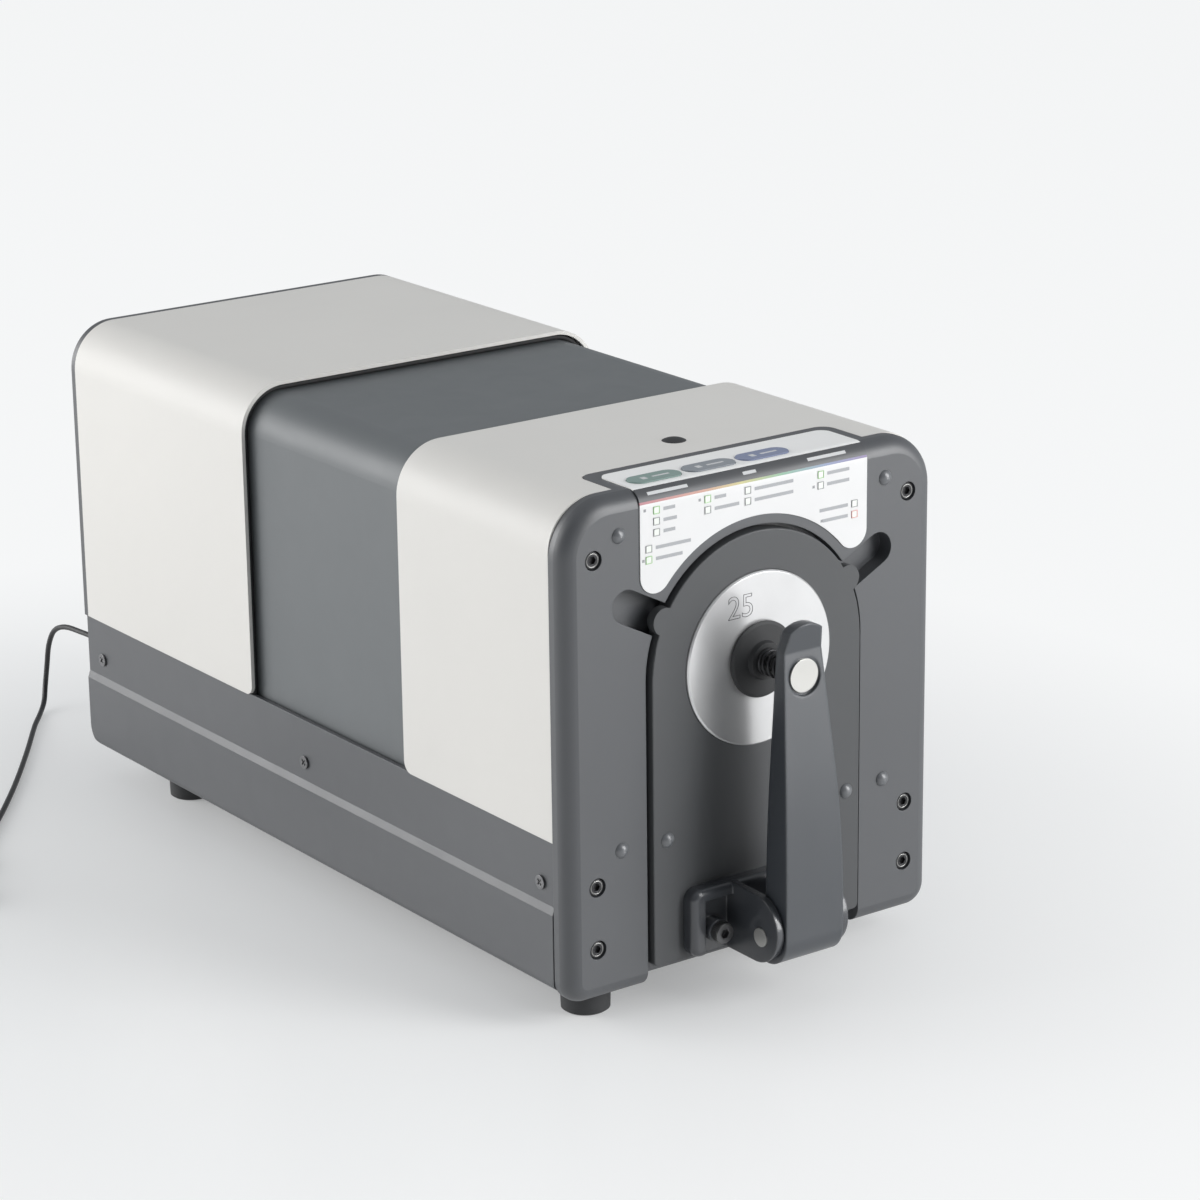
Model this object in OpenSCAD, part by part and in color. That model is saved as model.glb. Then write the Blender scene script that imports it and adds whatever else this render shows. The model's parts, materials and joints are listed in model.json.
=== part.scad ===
// Benchtop sphere spectrophotometer with a sprung sample arm and a sliding chamber cover.
// X runs to the right seen from the front, Y to the back and Z up from the table.
// The origin lies on the table under the middle of the instrument, without its power lead.

/* [Body] */
// Width over the covers and the base
body_w = 230; // [216:1:244]
// Depth from the bezel's front face to the rear panel's outer face
body_l = 477; // [460:1:510]
// Height of the covers' top above the table
top_z = 269; // [264:1:280]
// Radius of the covers' shoulders
shoulder_r = 26; // [20:1:32]
// Wall of the sheet covers
cover_t = 2; // [1.5:0.1:2.5]
// Height of the covers' lower edge
cover_z = 98; // [94:1:102]
// Radius of the covers' lower corners at the chamber
cover_corner_r = 6; // [3:1:10]
// Length of the front cover
front_cover_l = 130; // [126:1:140]
// Open length of the transmission chamber between the two light covers
chamber_l = 149; // [130:1:155]
// Depth of the aperture's centre below the covers' top
aperture_drop = 96; // [92:1:100]

/* [Base] */
// Height of the base's underside
base_z = 20; // [17:1:23]
// Height of the step between the skirt and the side band
ledge_z = 64; // [58:1:70]
// Bottom and rear wall of the base tray
tray_t = 3; // [2.5:0.5:4]
// Set-back of the side band behind the skirt
band_inset = 1.4; // [0.8:0.1:1.8]
// Wall of the side band
band_t = 2.4; // [2:0.1:3]
// Height of the slope on the skirt's upper edge
ledge_h = 4; // [1:0.5:6]
// Radius of the tray's lower rear corner
rear_corner_r = 12; // [6:1:16]
// Foot diameter
foot_d = 26; // [22:1:32]
// Distance of the left foot centres from the side of the body
foot_inset = 29; // [24:1:40]
// Distance of the right foot centres from the side of the body
foot_inset_right = 62; // [24:1:66]
// Distance of the front feet behind the bezel's front face
foot_front = 27; // [26:1:40]
// Distance of the rear feet ahead of the rear panel
foot_rear = 64; // [50:1:90]

/* [Bezel] */
// Thickness of the front bezel
bezel_t = 12; // [11:1:14]
// Depth of the bezel's columns below the base
bezel_drop = 5.5; // [3:0.5:8]
// Radius of the bezel's upper corners
bezel_top_r = 28; // [22:1:34]
// Radius of the bezel's lower corners
bezel_low_r = 12; // [10:1:16]
// Radius of the bezel's front edge
bezel_edge_r = 8; // [5:0.5:9]
// Depth of the pocket for the front panel
pocket_d = 6; // [5:0.5:7]
// Gap round the front panel
panel_gap = 2.2; // [1:0.1:2.6]
// Width of the finger notches
notch_w = 17; // [14:0.2:18]
// Distance of the notches' round ends from the aperture's centre
notch_reach = 88; // [82:1:90]
// Slope of the finger notches
notch_angle = 27.4; // [20:0.2:30]
// Depth of the finger notches
notch_d = 9; // [6:0.5:9.5]
// Distance of the bezel screws from the side of the body
screw_inset = 17.8; // [16:0.2:19]
// Distance of the bezel's bumpers from the side of the body
bumper_inset = 32.7; // [31:0.1:34]
// Diameter of the bumpers
bumper_d = 8; // [6:0.5:9]

/* [Front panel] */
// Radius of the panel's arch
panel_r = 64.9; // [62:0.1:66]
// Height of the panel above the bezel
panel_proud = 2.5; // [1.5:0.1:3.5]
// Height of the panel's lower edge
panel_z = 25; // [24:0.5:26]
// Radius of the panel's thumb tabs
tab_r = 7; // [5:0.5:7.5]
// Diameter of the aperture plate
plate_d = 89; // [84:1:94]
// Height of the aperture plate above the panel
plate_proud = 1.5; // [1:0.1:2.5]
// Diameter of the measuring aperture
aperture_d = 25; // [6:1:30]
// Radius of the sphere port behind the aperture plate
port_r = 28.5; // [26:0.5:31]

/* [Sample arm] */
// Reach of the closed arm in front of the bezel
arm_reach = 47.5; // [46:0.5:50]
// Width of the arm at the hinge
arm_w = 35.6; // [32:0.2:38]
// Wall of the arm's front
arm_wall = 3; // [2.4:0.1:3.5]
// Wall of the arm's sides
arm_side = 2.6; // [2:0.1:3.2]
// Depth of the arm's rear edge behind its front at the hinge
arm_depth = 16.5; // [15.5:0.5:18]
// Height of the hinge pin
pin_z = 40.6; // [40:0.2:44]
// Diameter of the hinge pin
pin_d = 6; // [5:0.5:7]
// Distance of the hinge pin behind the arm's front
pin_back = 14.7; // [13:0.1:16]
// Height of the arm's top above the aperture's centre
arm_top = 27; // [24:0.5:32]
// Height of the arm's bend above the aperture's centre
arm_bend = 12.5; // [11.5:0.5:14]
// Height of the break above which the arm leans back and draws in
arm_break_z = 90; // [80:1:100]
// Lean of the arm above the break, as a slope
arm_slope = 0.11; // [0.09:0.01:0.12]
// Width of the arm at its bend
arm_neck_w = 23; // [21:0.5:25]
// Width of the arm at its top
arm_top_w = 18; // [16:0.5:20]
// Diameter of the sample pad
pad_d = 39; // [34:1:44]
// Free travel of the sample pad against its spring
pad_travel = 5; // [3:0.5:6]
// Wire of the pad's spring
spring_wire = 1.8; // [1.2:0.1:2]
// Diameter of the blank badge
badge_d = 17; // [14:0.5:18]
// Width of the groove round the badge
badge_groove = 1.5; // [0.5:0.1:1.8]

/* [Control overlay] */
// Thickness of the overlay
film_t = 0.6; // [0.4:0.1:1]
// Half width of the overlay
film_half = 70; // [66:0.5:72]
// Radius of the overlay's arch round the aperture's centre
film_arch_r = 72; // [70:0.5:74]
// Radius of the overlay's lobes
film_lobe_r = 9; // [7:0.5:10]
// Depth of the overlay on top of the instrument
film_top_l = 34; // [31:1:36]
// Border of the bezel's tongue round the overlay
tongue_rim = 7; // [4:0.5:8]
// Key length
key_l = 30; // [24:0.5:31]
// Key width
key_w = 12; // [9:0.5:13]
// Key pitch
key_pitch = 33; // [32.5:0.5:35]
// Key travel
key_travel = 0.5; // [0.3:0.1:0.7]
// Side of the indicator windows
window_a = 3.4; // [2.8:0.1:4]

/* [Sliding cover] */
// Set-back of the sliding cover behind the light covers
slide_recess = 5.5; // [5:0.1:6]
// Length that the sliding cover tucks under each light cover
slide_tuck = 5.7; // [4:0.1:8]
// Clearance of the sliding cover in its rails
rail_gap = 0.4; // [0.3:0.05:0.6]

/* [Rear] */
// Thickness of the rear panel
rear_t = 4; // [3:0.5:5]
// Reach of the serial connector behind the rear panel
rear_reach = 6; // [5:0.5:8]
// Height of the connectors
port_z = 60; // [56:1:66]
// Distance of the power inlet from the side of the body
inlet_inset = 39; // [31:1:49]

/* [Optics] */
// Wall of the sphere
sphere_t = 4; // [3:0.5:5]
// Radius of the transmission port in the chamber walls
trans_r = 20; // [14:1:24]

/* [Power lead] */
// Diameter of the lead
cord_d = 3.2; // [2.6:0.1:3.4]
// Loops of the lead that are wound up
coil_loops = 10; // [6:2:12]
// Mean diameter of the wound loops
coil_d = 36; // [32:1:38]
// Step between neighbouring loops
coil_step = 3.7; // [3.65:0.05:4]

/* [Hidden] */
$fn = 64;
half = body_w / 2;
yf = (arm_reach - body_l - rear_reach) / 2;
yb = yf + bezel_t;
yc1 = yb + front_cover_l;
yc2 = yc1 + chamber_l;
yr = yf + body_l;
yp = yr - rear_t;
floor_z = base_z + tray_t;
band_half = half - band_inset;
skirt_gap = 1;
tray_half = band_half - band_t;
bezel_z = base_z - bezel_drop;
fit = 0.3;
running = 0.05;
aperture_z = top_z - aperture_drop;
inlet_x = inlet_inset - half;

// bezel screws and bumpers, in rows above each other on both sides
screw_x = half - screw_inset;
screw_zs = [top_z - 29, base_z + 54.5, base_z + 22];
bumper_x = half - bumper_inset;
bumper_zs = [top_z - 19.4, base_z + 70.4];
panel_bumper_x = panel_r - 8.5;
screw_head_r = 4.2;
screw_head_h = 3;
screw_shank_r = 2;
screw_sink = 4;
bumper_stem = 4;
bumper_stem_r = 1.9;

// side screws, feet and the front cover's plug
side_screw_ys = [yf + 24, (yf + yr) / 2 + 2.5, yr - 17];
side_screw_z = base_z + 54.4;
side_head_r = 3.6;
side_head_h = 1.2;
foot_stem_r = 4;
foot_recess_r = 5;
plug_hole_y = yb + front_cover_l / 2 - 12;
plug_stem_r = 4;
plug_dome_r = 6.2;
plug_dome_h = 1.6;

// front panel and aperture plate
panel_y = yf - panel_proud;
panel_edge_r = 0.6;
tab_l = panel_proud + 2.8;
plate_y = panel_y - plate_proud;
plate_seat = 3.5;
plate_r = plate_d / 2;
snout_r = port_r - 1.5;

// sample arm and its hinge
arm_y = yf - arm_reach;
pin_y = arm_y + pin_back;
pin_r = pin_d / 2;
arm_back_y = arm_y + arm_depth;
arm_half = arm_w / 2;
arm_neck_half = arm_neck_w / 2;
arm_top_half = arm_top_w / 2;
arm_bend_z = aperture_z + arm_bend;
arm_top_z = aperture_z + arm_top;
arm_turn = 40;
arm_lean = 15;
arm_head_t = 7;
function arm_front(z) = arm_y + arm_slope * (z - arm_break_z);
arm_head_y = arm_front(arm_bend_z) - (arm_top_z - arm_bend_z) * tan(arm_lean);
arm_boss = 5;
arm_arch_r = 15;
arm_pad_y = arm_front(aperture_z);
ear_t = 4;
ear_r = 17.5;
ear_back = 4.3;
ear_rise = 3.6;
ear_gap = 0.5;
ear_x = arm_half + ear_gap;
bracket_half = 47;
bracket_t = 8;
bracket_z = panel_z + 2;
bracket_top_z = bracket_z + 35.5;
bracket_screw_x = 32.5;
pocket_w = 17;
pocket_top_z = bracket_top_z - 6;
pocket_floor = 3;
bracket_screw_z = pin_z - 0.6;
pin_head_r = 4.8;
pin_head_t = 0.6;

// sample pad on its sprung stud
pad_y = plate_y - fit;
pad_r = pad_d / 2;
pad_t = 2.8;
hub_r = 10;
hub_t = 2.6;
stud_r = 2.5;
sleeve_r = 4.2;
sleeve_l = 11;
spring_r = 7 - spring_wire / 2;
spring_y0 = pad_y - pad_t - hub_t;
seat_r = 8;
seat_h = 1;
spring_y1 = arm_pad_y + arm_wall + seat_h;
spring_curls = 6;
stud_l = pad_y - spring_y1 - pad_travel;

// control overlay
bend_z = top_z - bezel_edge_r;
tongue_l = film_top_l + tongue_rim;
tongue_half = film_half + tongue_rim;
tongue_t = 6;
tongue_r = 8;
lobe_x = film_half - film_lobe_r;
lobe_z = sqrt(pow(film_arch_r + film_lobe_r, 2) - pow(lobe_x, 2));
key_y = yf + 15;
key_x0 = -50;
key_sink = 1.5;
key_proud = 0.6;
// indicator windows: distance from the middle, height over the aperture's centre, count
window_sets = [[-60.3, 85.6, 3], [-65, 67.1, 2], [-29.5, 85.6, 2], [-5, 85.6, 2], [40.4, 85.6, 2],
    [62, 67.1, 2]];
window_pitch = 5.5;

// sliding cover and rails
slide_half = half - slide_recess;
slide_top = top_z - slide_recess;
slide_r = shoulder_r - slide_recess;
slide_low = cover_z - 6;
rail_wall = 2.5;
rail_x0 = slide_half - cover_t - rail_gap - rail_wall;
rail_z0 = slide_low - fit - 6;
rail_z1 = cover_z - 2;

// chamber and chassis plates
wall_t = 3;
wall_y1 = yc1 - slide_tuck - fit;
wall_y2 = yc2 + slide_tuck + fit + 2;
inner_half = rail_x0 - fit;
inner_top = slide_top - cover_t - 1;
inner_r = slide_r - cover_t;
chamber_z = slide_low - 6;
shelf_drop = 58;
shelf_z = aperture_z - shelf_drop;
sphere_gap = 5;
sphere_r = (wall_y1 - yb - 2 * wall_t - 1 - sphere_gap) / 2;
sphere_y = yb + wall_t + sphere_r + 1;
flange_r = sphere_r + 10;
lamp_y = sphere_y + 24;
lamp_x = flange_r + 1;
lamp_w = 38;
lamp_l = 46;
lamp_h = 64;
lamp_port_r = 9;
lamp_t = 2;
vent_pitch = 9;
vent_h = 4;
stand_half = 40;
rear_room = yp - wall_y2 - wall_t;
spectro_half = 60;
spectro_l = rear_room * 0.56;
spectro_h = 84;
spectro_y = wall_y2 + wall_t + rear_room * 0.235;
spectro_t = 3;
grating_half = 16;
grating_t = 14;
grating_curve_r = 80;
detector_half = spectro_l * 0.21;
detector_h = 57;
chip_half = 12;
board_z = floor_z + 8;
board_t = 1.6;
main_y0 = wall_y1 + 10;
main_y1 = wall_y2 - 12;
main_half = 80;
post_inset = 8;
main_chip = 14;
main_row = 28;
main_row_w = 12;
main_row_h = 14;
capacitor_r = 15;
capacitor_h = 46;
flash_half = 70;

// rear connectors
serial_x = inlet_x + 56;
switch_x = -inlet_x - 6;
rocker_r = 8.4;
rocker_w = 10;
rocker_tilt = 10;
rocker_y = yr - 1;
rocker_pin_r = 1.5;
switch_half_w = rocker_w / 2 + 2;
switch_half_h = rocker_r + 2;
inlet_r = 6.5;
inlet_collar = 2.5;
jack_r = 3;

// power lead: plug, free stretch, coil and end connector
cord_r = cord_d / 2;
plug_y = yr + inlet_collar;
plug_r = 5.4;
plug_l = 22;
relief_l = 12;
socket_l = 35;
socket_r = 2.6;
cord_start = [inlet_x, plug_y + plug_l + relief_l, port_z];
tie_t = 0.8;
tie_w = 8;
coil_z = tie_t + fit + cord_r;
coil_out = coil_d / 2 + coil_step * coil_loops / 4;
// the free stretch in whole millimetres: out of the plug, down to the table and past the front
cord_points = [[-76, 318, 60], [-76, 340, 59], [-76, 360, 57], [-76, 374, 51], [-76, 382, 40],
    [-76, 386, 26], [-78, 386, 13], [-82, 381, 5], [-90, 371, 2], [-104, 352, 2], [-128, 316, 2],
    [-160, 270, 2], [-190, 230, 2], [-218, 195, 2.4]];
coil_start = [-240, 167];
coil_heading = 232;
coil_tail = 22;

// a flat outline in X and Z, drawn out along Y
module along_y(y0, l) {
    translate([0, y0 + l, 0]) rotate([90, 0, 0]) linear_extrude(l) children();
}

// a flat outline in Y and Z, drawn out along X
module along_x(x0, l) {
    translate([x0, 0, 0]) rotate([90, 0, 90]) linear_extrude(l) children();
}

module rod_y(x, y, z, r, l) {
    translate([x, y, z]) rotate([-90, 0, 0]) cylinder(h = l, r = r);
}

module rod_x(x, y, z, r, l) {
    translate([x, y, z]) rotate([0, 90, 0]) cylinder(h = l, r = r);
}

module both_sides() {
    children();
    mirror([1, 0, 0]) children();
}

module box(x0, y0, z0, x1, y1, z1) {
    translate([x0, y0, z0]) cube([x1 - x0, y1 - y0, z1 - z0]);
}

// inverted U outline with round shoulders
module hood_2d(h, top, r, low) {
    translate([-h, low]) square([2 * h, top - r - low]);
    translate([r - h, low]) square([2 * (h - r), top - low]);
    for (s = [-1, 1]) translate([s * (h - r), top - r]) circle(r);
}

module hood_shell(h, top, r, low, t, y0, l) {
    along_y(y0, l) difference() {
        hood_2d(h, top, r, low);
        hood_2d(h - t, top - t, r - t, low - 1);
    }
}

// arch outline: a half round on two straight sides
module arch_2d(r, low) {
    translate([0, aperture_z]) circle(r);
    translate([-r, low]) square([2 * r, aperture_z - low]);
}

// rectangle with round upper and lower corners
module soft_plate_2d(h, z0, z1, r_top, r_low) {
    translate([-h, z0 + r_low]) square([2 * h, z1 - r_top - z0 - r_low]);
    translate([r_low - h, z0]) square([2 * (h - r_low), z1 - r_top - z0]);
    for (s = [-1, 1]) {
        translate([s * (h - r_top), z1 - r_top]) circle(r_top);
        translate([s * (h - r_low), z0 + r_low]) circle(r_low);
    }
    if (h > r_top) translate([r_top - h, z0 + r_low]) square([2 * (h - r_top), z1 - z0 - r_low]);
}

// what a rounded edge takes off a slab: radius outwards, depth upwards from the front face
module edge_cut_2d(r, f) {
    translate([r - 1.14 * f, -1]) difference() {
        square([1.14 * f + 1, 1.14 * f + 1]);
        translate([-0.001 * f, 1.141 * f + 1]) circle(1.15 * f);
    }
}

// slab with round corners whose front edge is rounded all the way round; its front lies at y0
module soft_slab(y0, h, z0, z1, r_top, r_low, t, f) {
    translate([0, y0, 0]) mirror([0, 1, 0]) rotate([90, 0, 0]) difference() {
        linear_extrude(t) soft_plate_2d(h, z0, z1, r_top, r_low);
        both_sides() {
            translate([h - r_top, z1 - r_top, 0]) rotate_extrude(angle = 90) edge_cut_2d(r_top, f);
            translate([h - r_low, z0 + r_low, 0]) rotate([0, 0, -90])
                rotate_extrude(angle = 90) edge_cut_2d(r_low, f);
            translate([h - r_top, z1 - r_top, 0]) rotate([90, 0, 0])
                linear_extrude(z1 - r_top - z0 - r_low) edge_cut_2d(r_top, f);
        }
        translate([r_low - h, z0 + r_low, 0]) mirror([0, 1, 0]) rotate([90, 0, 90])
            linear_extrude(2 * (h - r_low)) edge_cut_2d(r_low, f);
        if (h > r_top) translate([r_top - h, z1 - r_top, 0]) rotate([90, 0, 90])
            linear_extrude(2 * (h - r_top)) edge_cut_2d(r_top, f);
    }
}

// half outline of a low dome, to be turned about its axis
module dome_2d(r, h) {
    dome_r = (r * r + h * h) / (2 * h);
    intersection() {
        translate([0, h - dome_r]) circle(dome_r);
        square([r, h]);
    }
}

// round bumper: a low dome on a stem, pointing to the front
module bumper(x, y, z) {
    translate([x, y, z]) rotate([90, 0, 0]) rotate_extrude() {
        dome_2d(bumper_d / 2, bumper_d * 0.28);
        translate([0, -bumper_stem]) square([bumper_stem_r, bumper_stem]);
    }
}

module bumper_hole(x, y, z) {
    rod_y(x, y - 1, z, bumper_stem_r + running, bumper_stem + 1 + fit);
}

// socket head screw pointing backwards, the head's underside at y
module socket_screw(x, y, z, head_r, head_h, shank_r, shank_l) {
    difference() {
        union() {
            rod_y(x, y - head_h, z, head_r, head_h);
            rod_y(x, y, z, shank_r, shank_l);
        }
        translate([x, y - head_h - 1, z]) rotate([-90, 0, 0])
            cylinder(h = 1 + head_h * 0.6, r = head_r * 0.52, $fn = 6);
    }
}

module at_bezel_screws() {
    for (s = [-1, 1], z = screw_zs) translate([s * screw_x, 0, z]) children();
}

module tongue_2d(h, y0, y1, r) {
    translate([-h, y0]) square([2 * h, y1 - y0 - r]);
    translate([r - h, y0]) square([2 * (h - r), y1 - y0]);
    for (s = [-1, 1]) translate([s * (h - r), y1 - r]) circle(r);
}

module pill_2d(l, w) {
    square([l - w, w], center = true);
    for (s = [-1, 1]) translate([s * (l - w) / 2, 0]) circle(w / 2);
}

module notch_2d() {
    for (a = [notch_angle, 180 - notch_angle]) translate([0, aperture_z]) rotate(a) {
        translate([panel_r - 6, -notch_w / 2]) square([notch_reach - panel_r + 6, notch_w]);
        translate([notch_reach, 0]) circle(notch_w / 2);
    }
}

function key_x(i) = key_x0 + i * key_pitch;

// moulded front: rounded plate with a pocket for the panel and a tongue on the front cover
module front_bezel() {
    color("#55585b") difference() {
        union() {
            soft_slab(yf, half, bezel_z, top_z, bezel_top_r, bezel_low_r, bezel_t, bezel_edge_r);
            translate([0, 0, top_z - tongue_t]) linear_extrude(tongue_t)
                tongue_2d(tongue_half, yf + bezel_edge_r, yf + tongue_l, tongue_r);
        }
        along_y(yf - 1, pocket_d + 1) arch_2d(panel_r + panel_gap, bezel_z - 1);
        along_y(yf - 1, notch_d + 1) notch_2d();
        box(-panel_r - panel_gap, yf - 1, bezel_z - 1, panel_r + panel_gap, yb + 1, base_z);
        rod_y(0, yf, aperture_z, snout_r + fit, bezel_t + 1);
        at_bezel_screws() {
            rod_y(0, yf - 1, 0, screw_head_r + 0.7, screw_sink + 1);
            rod_y(0, yf, 0, screw_shank_r + running, bezel_t + 1);
        }
        for (s = [-1, 1], z = bumper_zs) bumper_hole(s * bumper_x, yf, z);
        for (i = [0 : 2]) translate([key_x(i), key_y, top_z - key_sink - key_travel - fit])
            linear_extrude(key_sink + 2) pill_2d(key_l + 2 * fit, key_w + 2 * fit);
    }
}

module bezel_screws() {
    color("#3a3c3e") at_bezel_screws()
        socket_screw(0, yf + screw_sink, 0, screw_head_r, screw_head_h, screw_shank_r,
            bezel_t - screw_sink + wall_t);
}

module bezel_bumpers() {
    color("#4a4c4e") for (s = [-1, 1], z = bumper_zs) bumper(s * bumper_x, yf, z);
}

// outline of the overlay's front: two round lobes beside the arch
module film_front_2d() {
    zc = aperture_z + lobe_z;
    difference() {
        union() {
            translate([-film_half, zc]) square([2 * film_half, bend_z - zc]);
            for (s = [-1, 1]) {
                translate([s * lobe_x, zc]) circle(film_lobe_r);
                translate([0, aperture_z]) polygon([[s * lobe_x, lobe_z],
                    [s * lobe_x, lobe_z] * film_arch_r / (film_arch_r + film_lobe_r),
                    [s * film_arch_r * 0.6, lobe_z]]);
            }
        }
        translate([0, aperture_z]) circle(film_arch_r);
        windows_2d();
    }
}

module windows_2d() {
    for (set = window_sets, i = [0 : set[2] - 1])
        translate([set[0], aperture_z + set[1] - i * window_pitch]) square(window_a, center = true);
}

// film bent over the bezel's upper edge
module control_overlay() {
    color("#f2f3f2") {
        along_y(yf - film_t, film_t) film_front_2d();
        along_x(-film_half, 2 * film_half) translate([yf + bezel_edge_r, bend_z]) intersection() {
            difference() {
                circle(bezel_edge_r + film_t);
                circle(bezel_edge_r);
            }
            translate([-bezel_edge_r - film_t, 0]) square(bezel_edge_r + film_t);
        }
        translate([0, 0, top_z]) linear_extrude(film_t) difference() {
            tongue_2d(film_half, yf + bezel_edge_r, yf + film_top_l, tongue_r - 2);
            for (i = [0 : 2]) translate([key_x(i), key_y]) pill_2d(key_l + 2 * fit, key_w + 2 * fit);
        }
    }
}

module key(i) {
    translate([key_x(i), key_y, top_z - key_sink])
        linear_extrude(key_sink + film_t + key_proud) pill_2d(key_l, key_w);
}

module key_left() {
    color("#6f8f84") key(0);
}

module key_middle() {
    color("#8d9399") key(1);
}

module key_right() {
    color("#68789a") key(2);
}

module indicator_windows() {
    color("#dfe8d8") along_y(yf - film_t - 0.2, film_t + 0.2) windows_2d();
}

// pull-off panel that carries the aperture plate and the sample arm
module front_panel() {
    color("#5a5d60") difference() {
        union() {
            soft_slab(panel_y, panel_r, panel_z, aperture_z + panel_r, panel_r, 3,
                panel_proud + pocket_d, panel_edge_r);
            for (a = [notch_angle, 180 - notch_angle]) translate([0, 0, aperture_z]) rotate([0, -a, 0])
                rod_y(panel_r - 0.8, panel_y, 0, tab_r, tab_l);
        }
        rod_y(0, panel_y - 1, aperture_z, plate_r + 0.2, plate_seat + 1);
        rod_y(0, panel_y, aperture_z, port_r, pocket_d + panel_proud + 1);
        for (s = [-1, 1]) {
            bumper_hole(s * panel_bumper_x, panel_y, bumper_zs[1]);
            rod_y(s * bracket_screw_x, panel_y - 1, bracket_screw_z, screw_shank_r + running, pocket_d);
        }
    }
}

module panel_bumpers() {
    color("#4a4c4e") for (s = [-1, 1]) bumper(s * panel_bumper_x, panel_y, bumper_zs[1]);
}

// turned plate with a bevelled aperture and a spigot in the panel's port
module aperture_plate() {
    plate_t = plate_seat + plate_proud;
    a = aperture_d / 2;
    s = port_r - 0.2;
    color("#c9cbcc") translate([0, plate_y, aperture_z]) rotate([-90, 0, 0]) rotate_extrude()
        polygon([[a, 0.4], [a + 1, 0], [plate_r - 0.8, 0], [plate_r, 0.8], [plate_r, plate_t],
            [s, plate_t], [s, plate_t + 3], [s - 3, plate_t + 3], [s - 4, plate_t - 1], [a, 1.4]]);
}

// side outline of an ear: a round plate that runs into the flange
module ear_2d() {
    y = pin_y + ear_back;
    z = pin_z + ear_rise;
    translate([y, z]) circle(ear_r);
    polygon([[panel_y, bracket_top_z], [y, z + ear_r], [y, z - ear_r], [panel_y, bracket_z]]);
}

// cast bracket: rounded flange with two screw pockets and the two ears of the hinge
module hinge_bracket() {
    boss_y = panel_y - bracket_t - 2;
    color("#3b3d40") difference() {
        union() {
            difference() {
                soft_slab(panel_y - bracket_t, bracket_half, bracket_z, bracket_top_z, 6, 6, bracket_t, 3);
                both_sides() box(ear_x + ear_t, panel_y - bracket_t - 1, bracket_z - 1,
                    ear_x + ear_t + pocket_w, panel_y - pocket_floor, pocket_top_z);
            }
            for (s = [-1, 1]) rod_y(s * bracket_screw_x, boss_y, bracket_screw_z, 6, panel_y - boss_y);
            both_sides() along_x(ear_x, ear_t) ear_2d();
        }
        rod_x(-ear_x - ear_t - 1, pin_y, pin_z, pin_r + running / 2, 2 * (ear_x + ear_t + 1));
        for (s = [-1, 1])
            rod_y(s * bracket_screw_x, boss_y - 1, bracket_screw_z, screw_shank_r + running, bracket_t + 4);
    }
}

module hinge_screws() {
    color("#2f3133") for (s = [-1, 1])
        socket_screw(s * bracket_screw_x, panel_y - bracket_t - 2, bracket_screw_z, 5, 5, screw_shank_r,
            bracket_t + 2 + pocket_d - 2);
}

module hinge_pin() {
    l = ear_x + ear_t + pin_head_t;
    color("#b9bbbc") {
        rod_x(-l, pin_y, pin_z, pin_r, 2 * l);
        for (x = [-l, l - pin_head_t]) rod_x(x, pin_y, pin_z, pin_head_r, pin_head_t);
    }
}

// points of a smooth turn round corner b, on the way from a to c, that starts and ends l from the corner
function turn_at(a, b, c, l, n = 12) = let (p = b + l * unit(a - b), q = b + l * unit(c - b))
    [for (i = [0 : n]) let (t = i / n) pow(1 - t, 2) * p + 2 * t * (1 - t) * b + pow(t, 2) * q];

// the arm's front line, set back by d, from the pin to a height in the leaning part
function arm_line(d, z) = concat([[arm_y + d, pin_z]],
    turn_at([arm_y + d, pin_z], [arm_y + d, arm_break_z], [arm_front(z) + d, z], arm_turn));

// side outline of the arm: upright by the hinge, leaning back above the break, head bent forward
module arm_side_2d() {
    polygon(concat(arm_line(0, arm_bend_z), [[arm_front(arm_bend_z), arm_bend_z],
        [arm_head_y, arm_top_z], [arm_head_y + arm_head_t, arm_top_z], [arm_back_y, arm_bend_z],
        [arm_back_y, pin_z]]));
    intersection() {
        translate([pin_y, pin_z]) circle(pin_back);
        translate([arm_y - 1, pin_z - pin_back - 1]) square([arm_depth + 1, pin_back + 3]);
    }
    translate([pin_y, pin_z]) circle(pin_r + arm_boss);
}

// what the channel takes out of the arm's side outline
module arm_hollow_2d() {
    z = arm_bend_z - arm_wall;
    polygon(concat(arm_line(arm_wall, z), [[arm_front(z) + arm_wall, z], [arm_back_y + arm_depth, z],
        [arm_back_y + arm_depth, pin_z]]));
    translate([pin_y, pin_z]) circle(pin_back - arm_wall);
    translate([pin_y, pin_z - pin_back + arm_wall]) square([arm_depth, pin_back]);
}

// front outline of the arm: parallel by the hinge, drawn in above the break, arched at the top
module arm_front_2d(inset) {
    w = arm_half - inset;
    neck = [arm_neck_half - inset, arm_bend_z];
    tip = [arm_top_half - inset, arm_top_z];
    edge = concat([[w, 0]], turn_at([w, 0], [w, arm_break_z], neck, arm_turn), [neck, tip]);
    intersection() {
        polygon(concat(edge, [for (i = [len(edge) - 1 : -1 : 0]) [-edge[i][0], edge[i][1]]]));
        union() {
            translate([0, arm_top_z - arm_arch_r]) circle(arm_arch_r);
            translate([-arm_half, 0]) square([arm_w, arm_top_z - arm_arch_r]);
        }
    }
}

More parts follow.
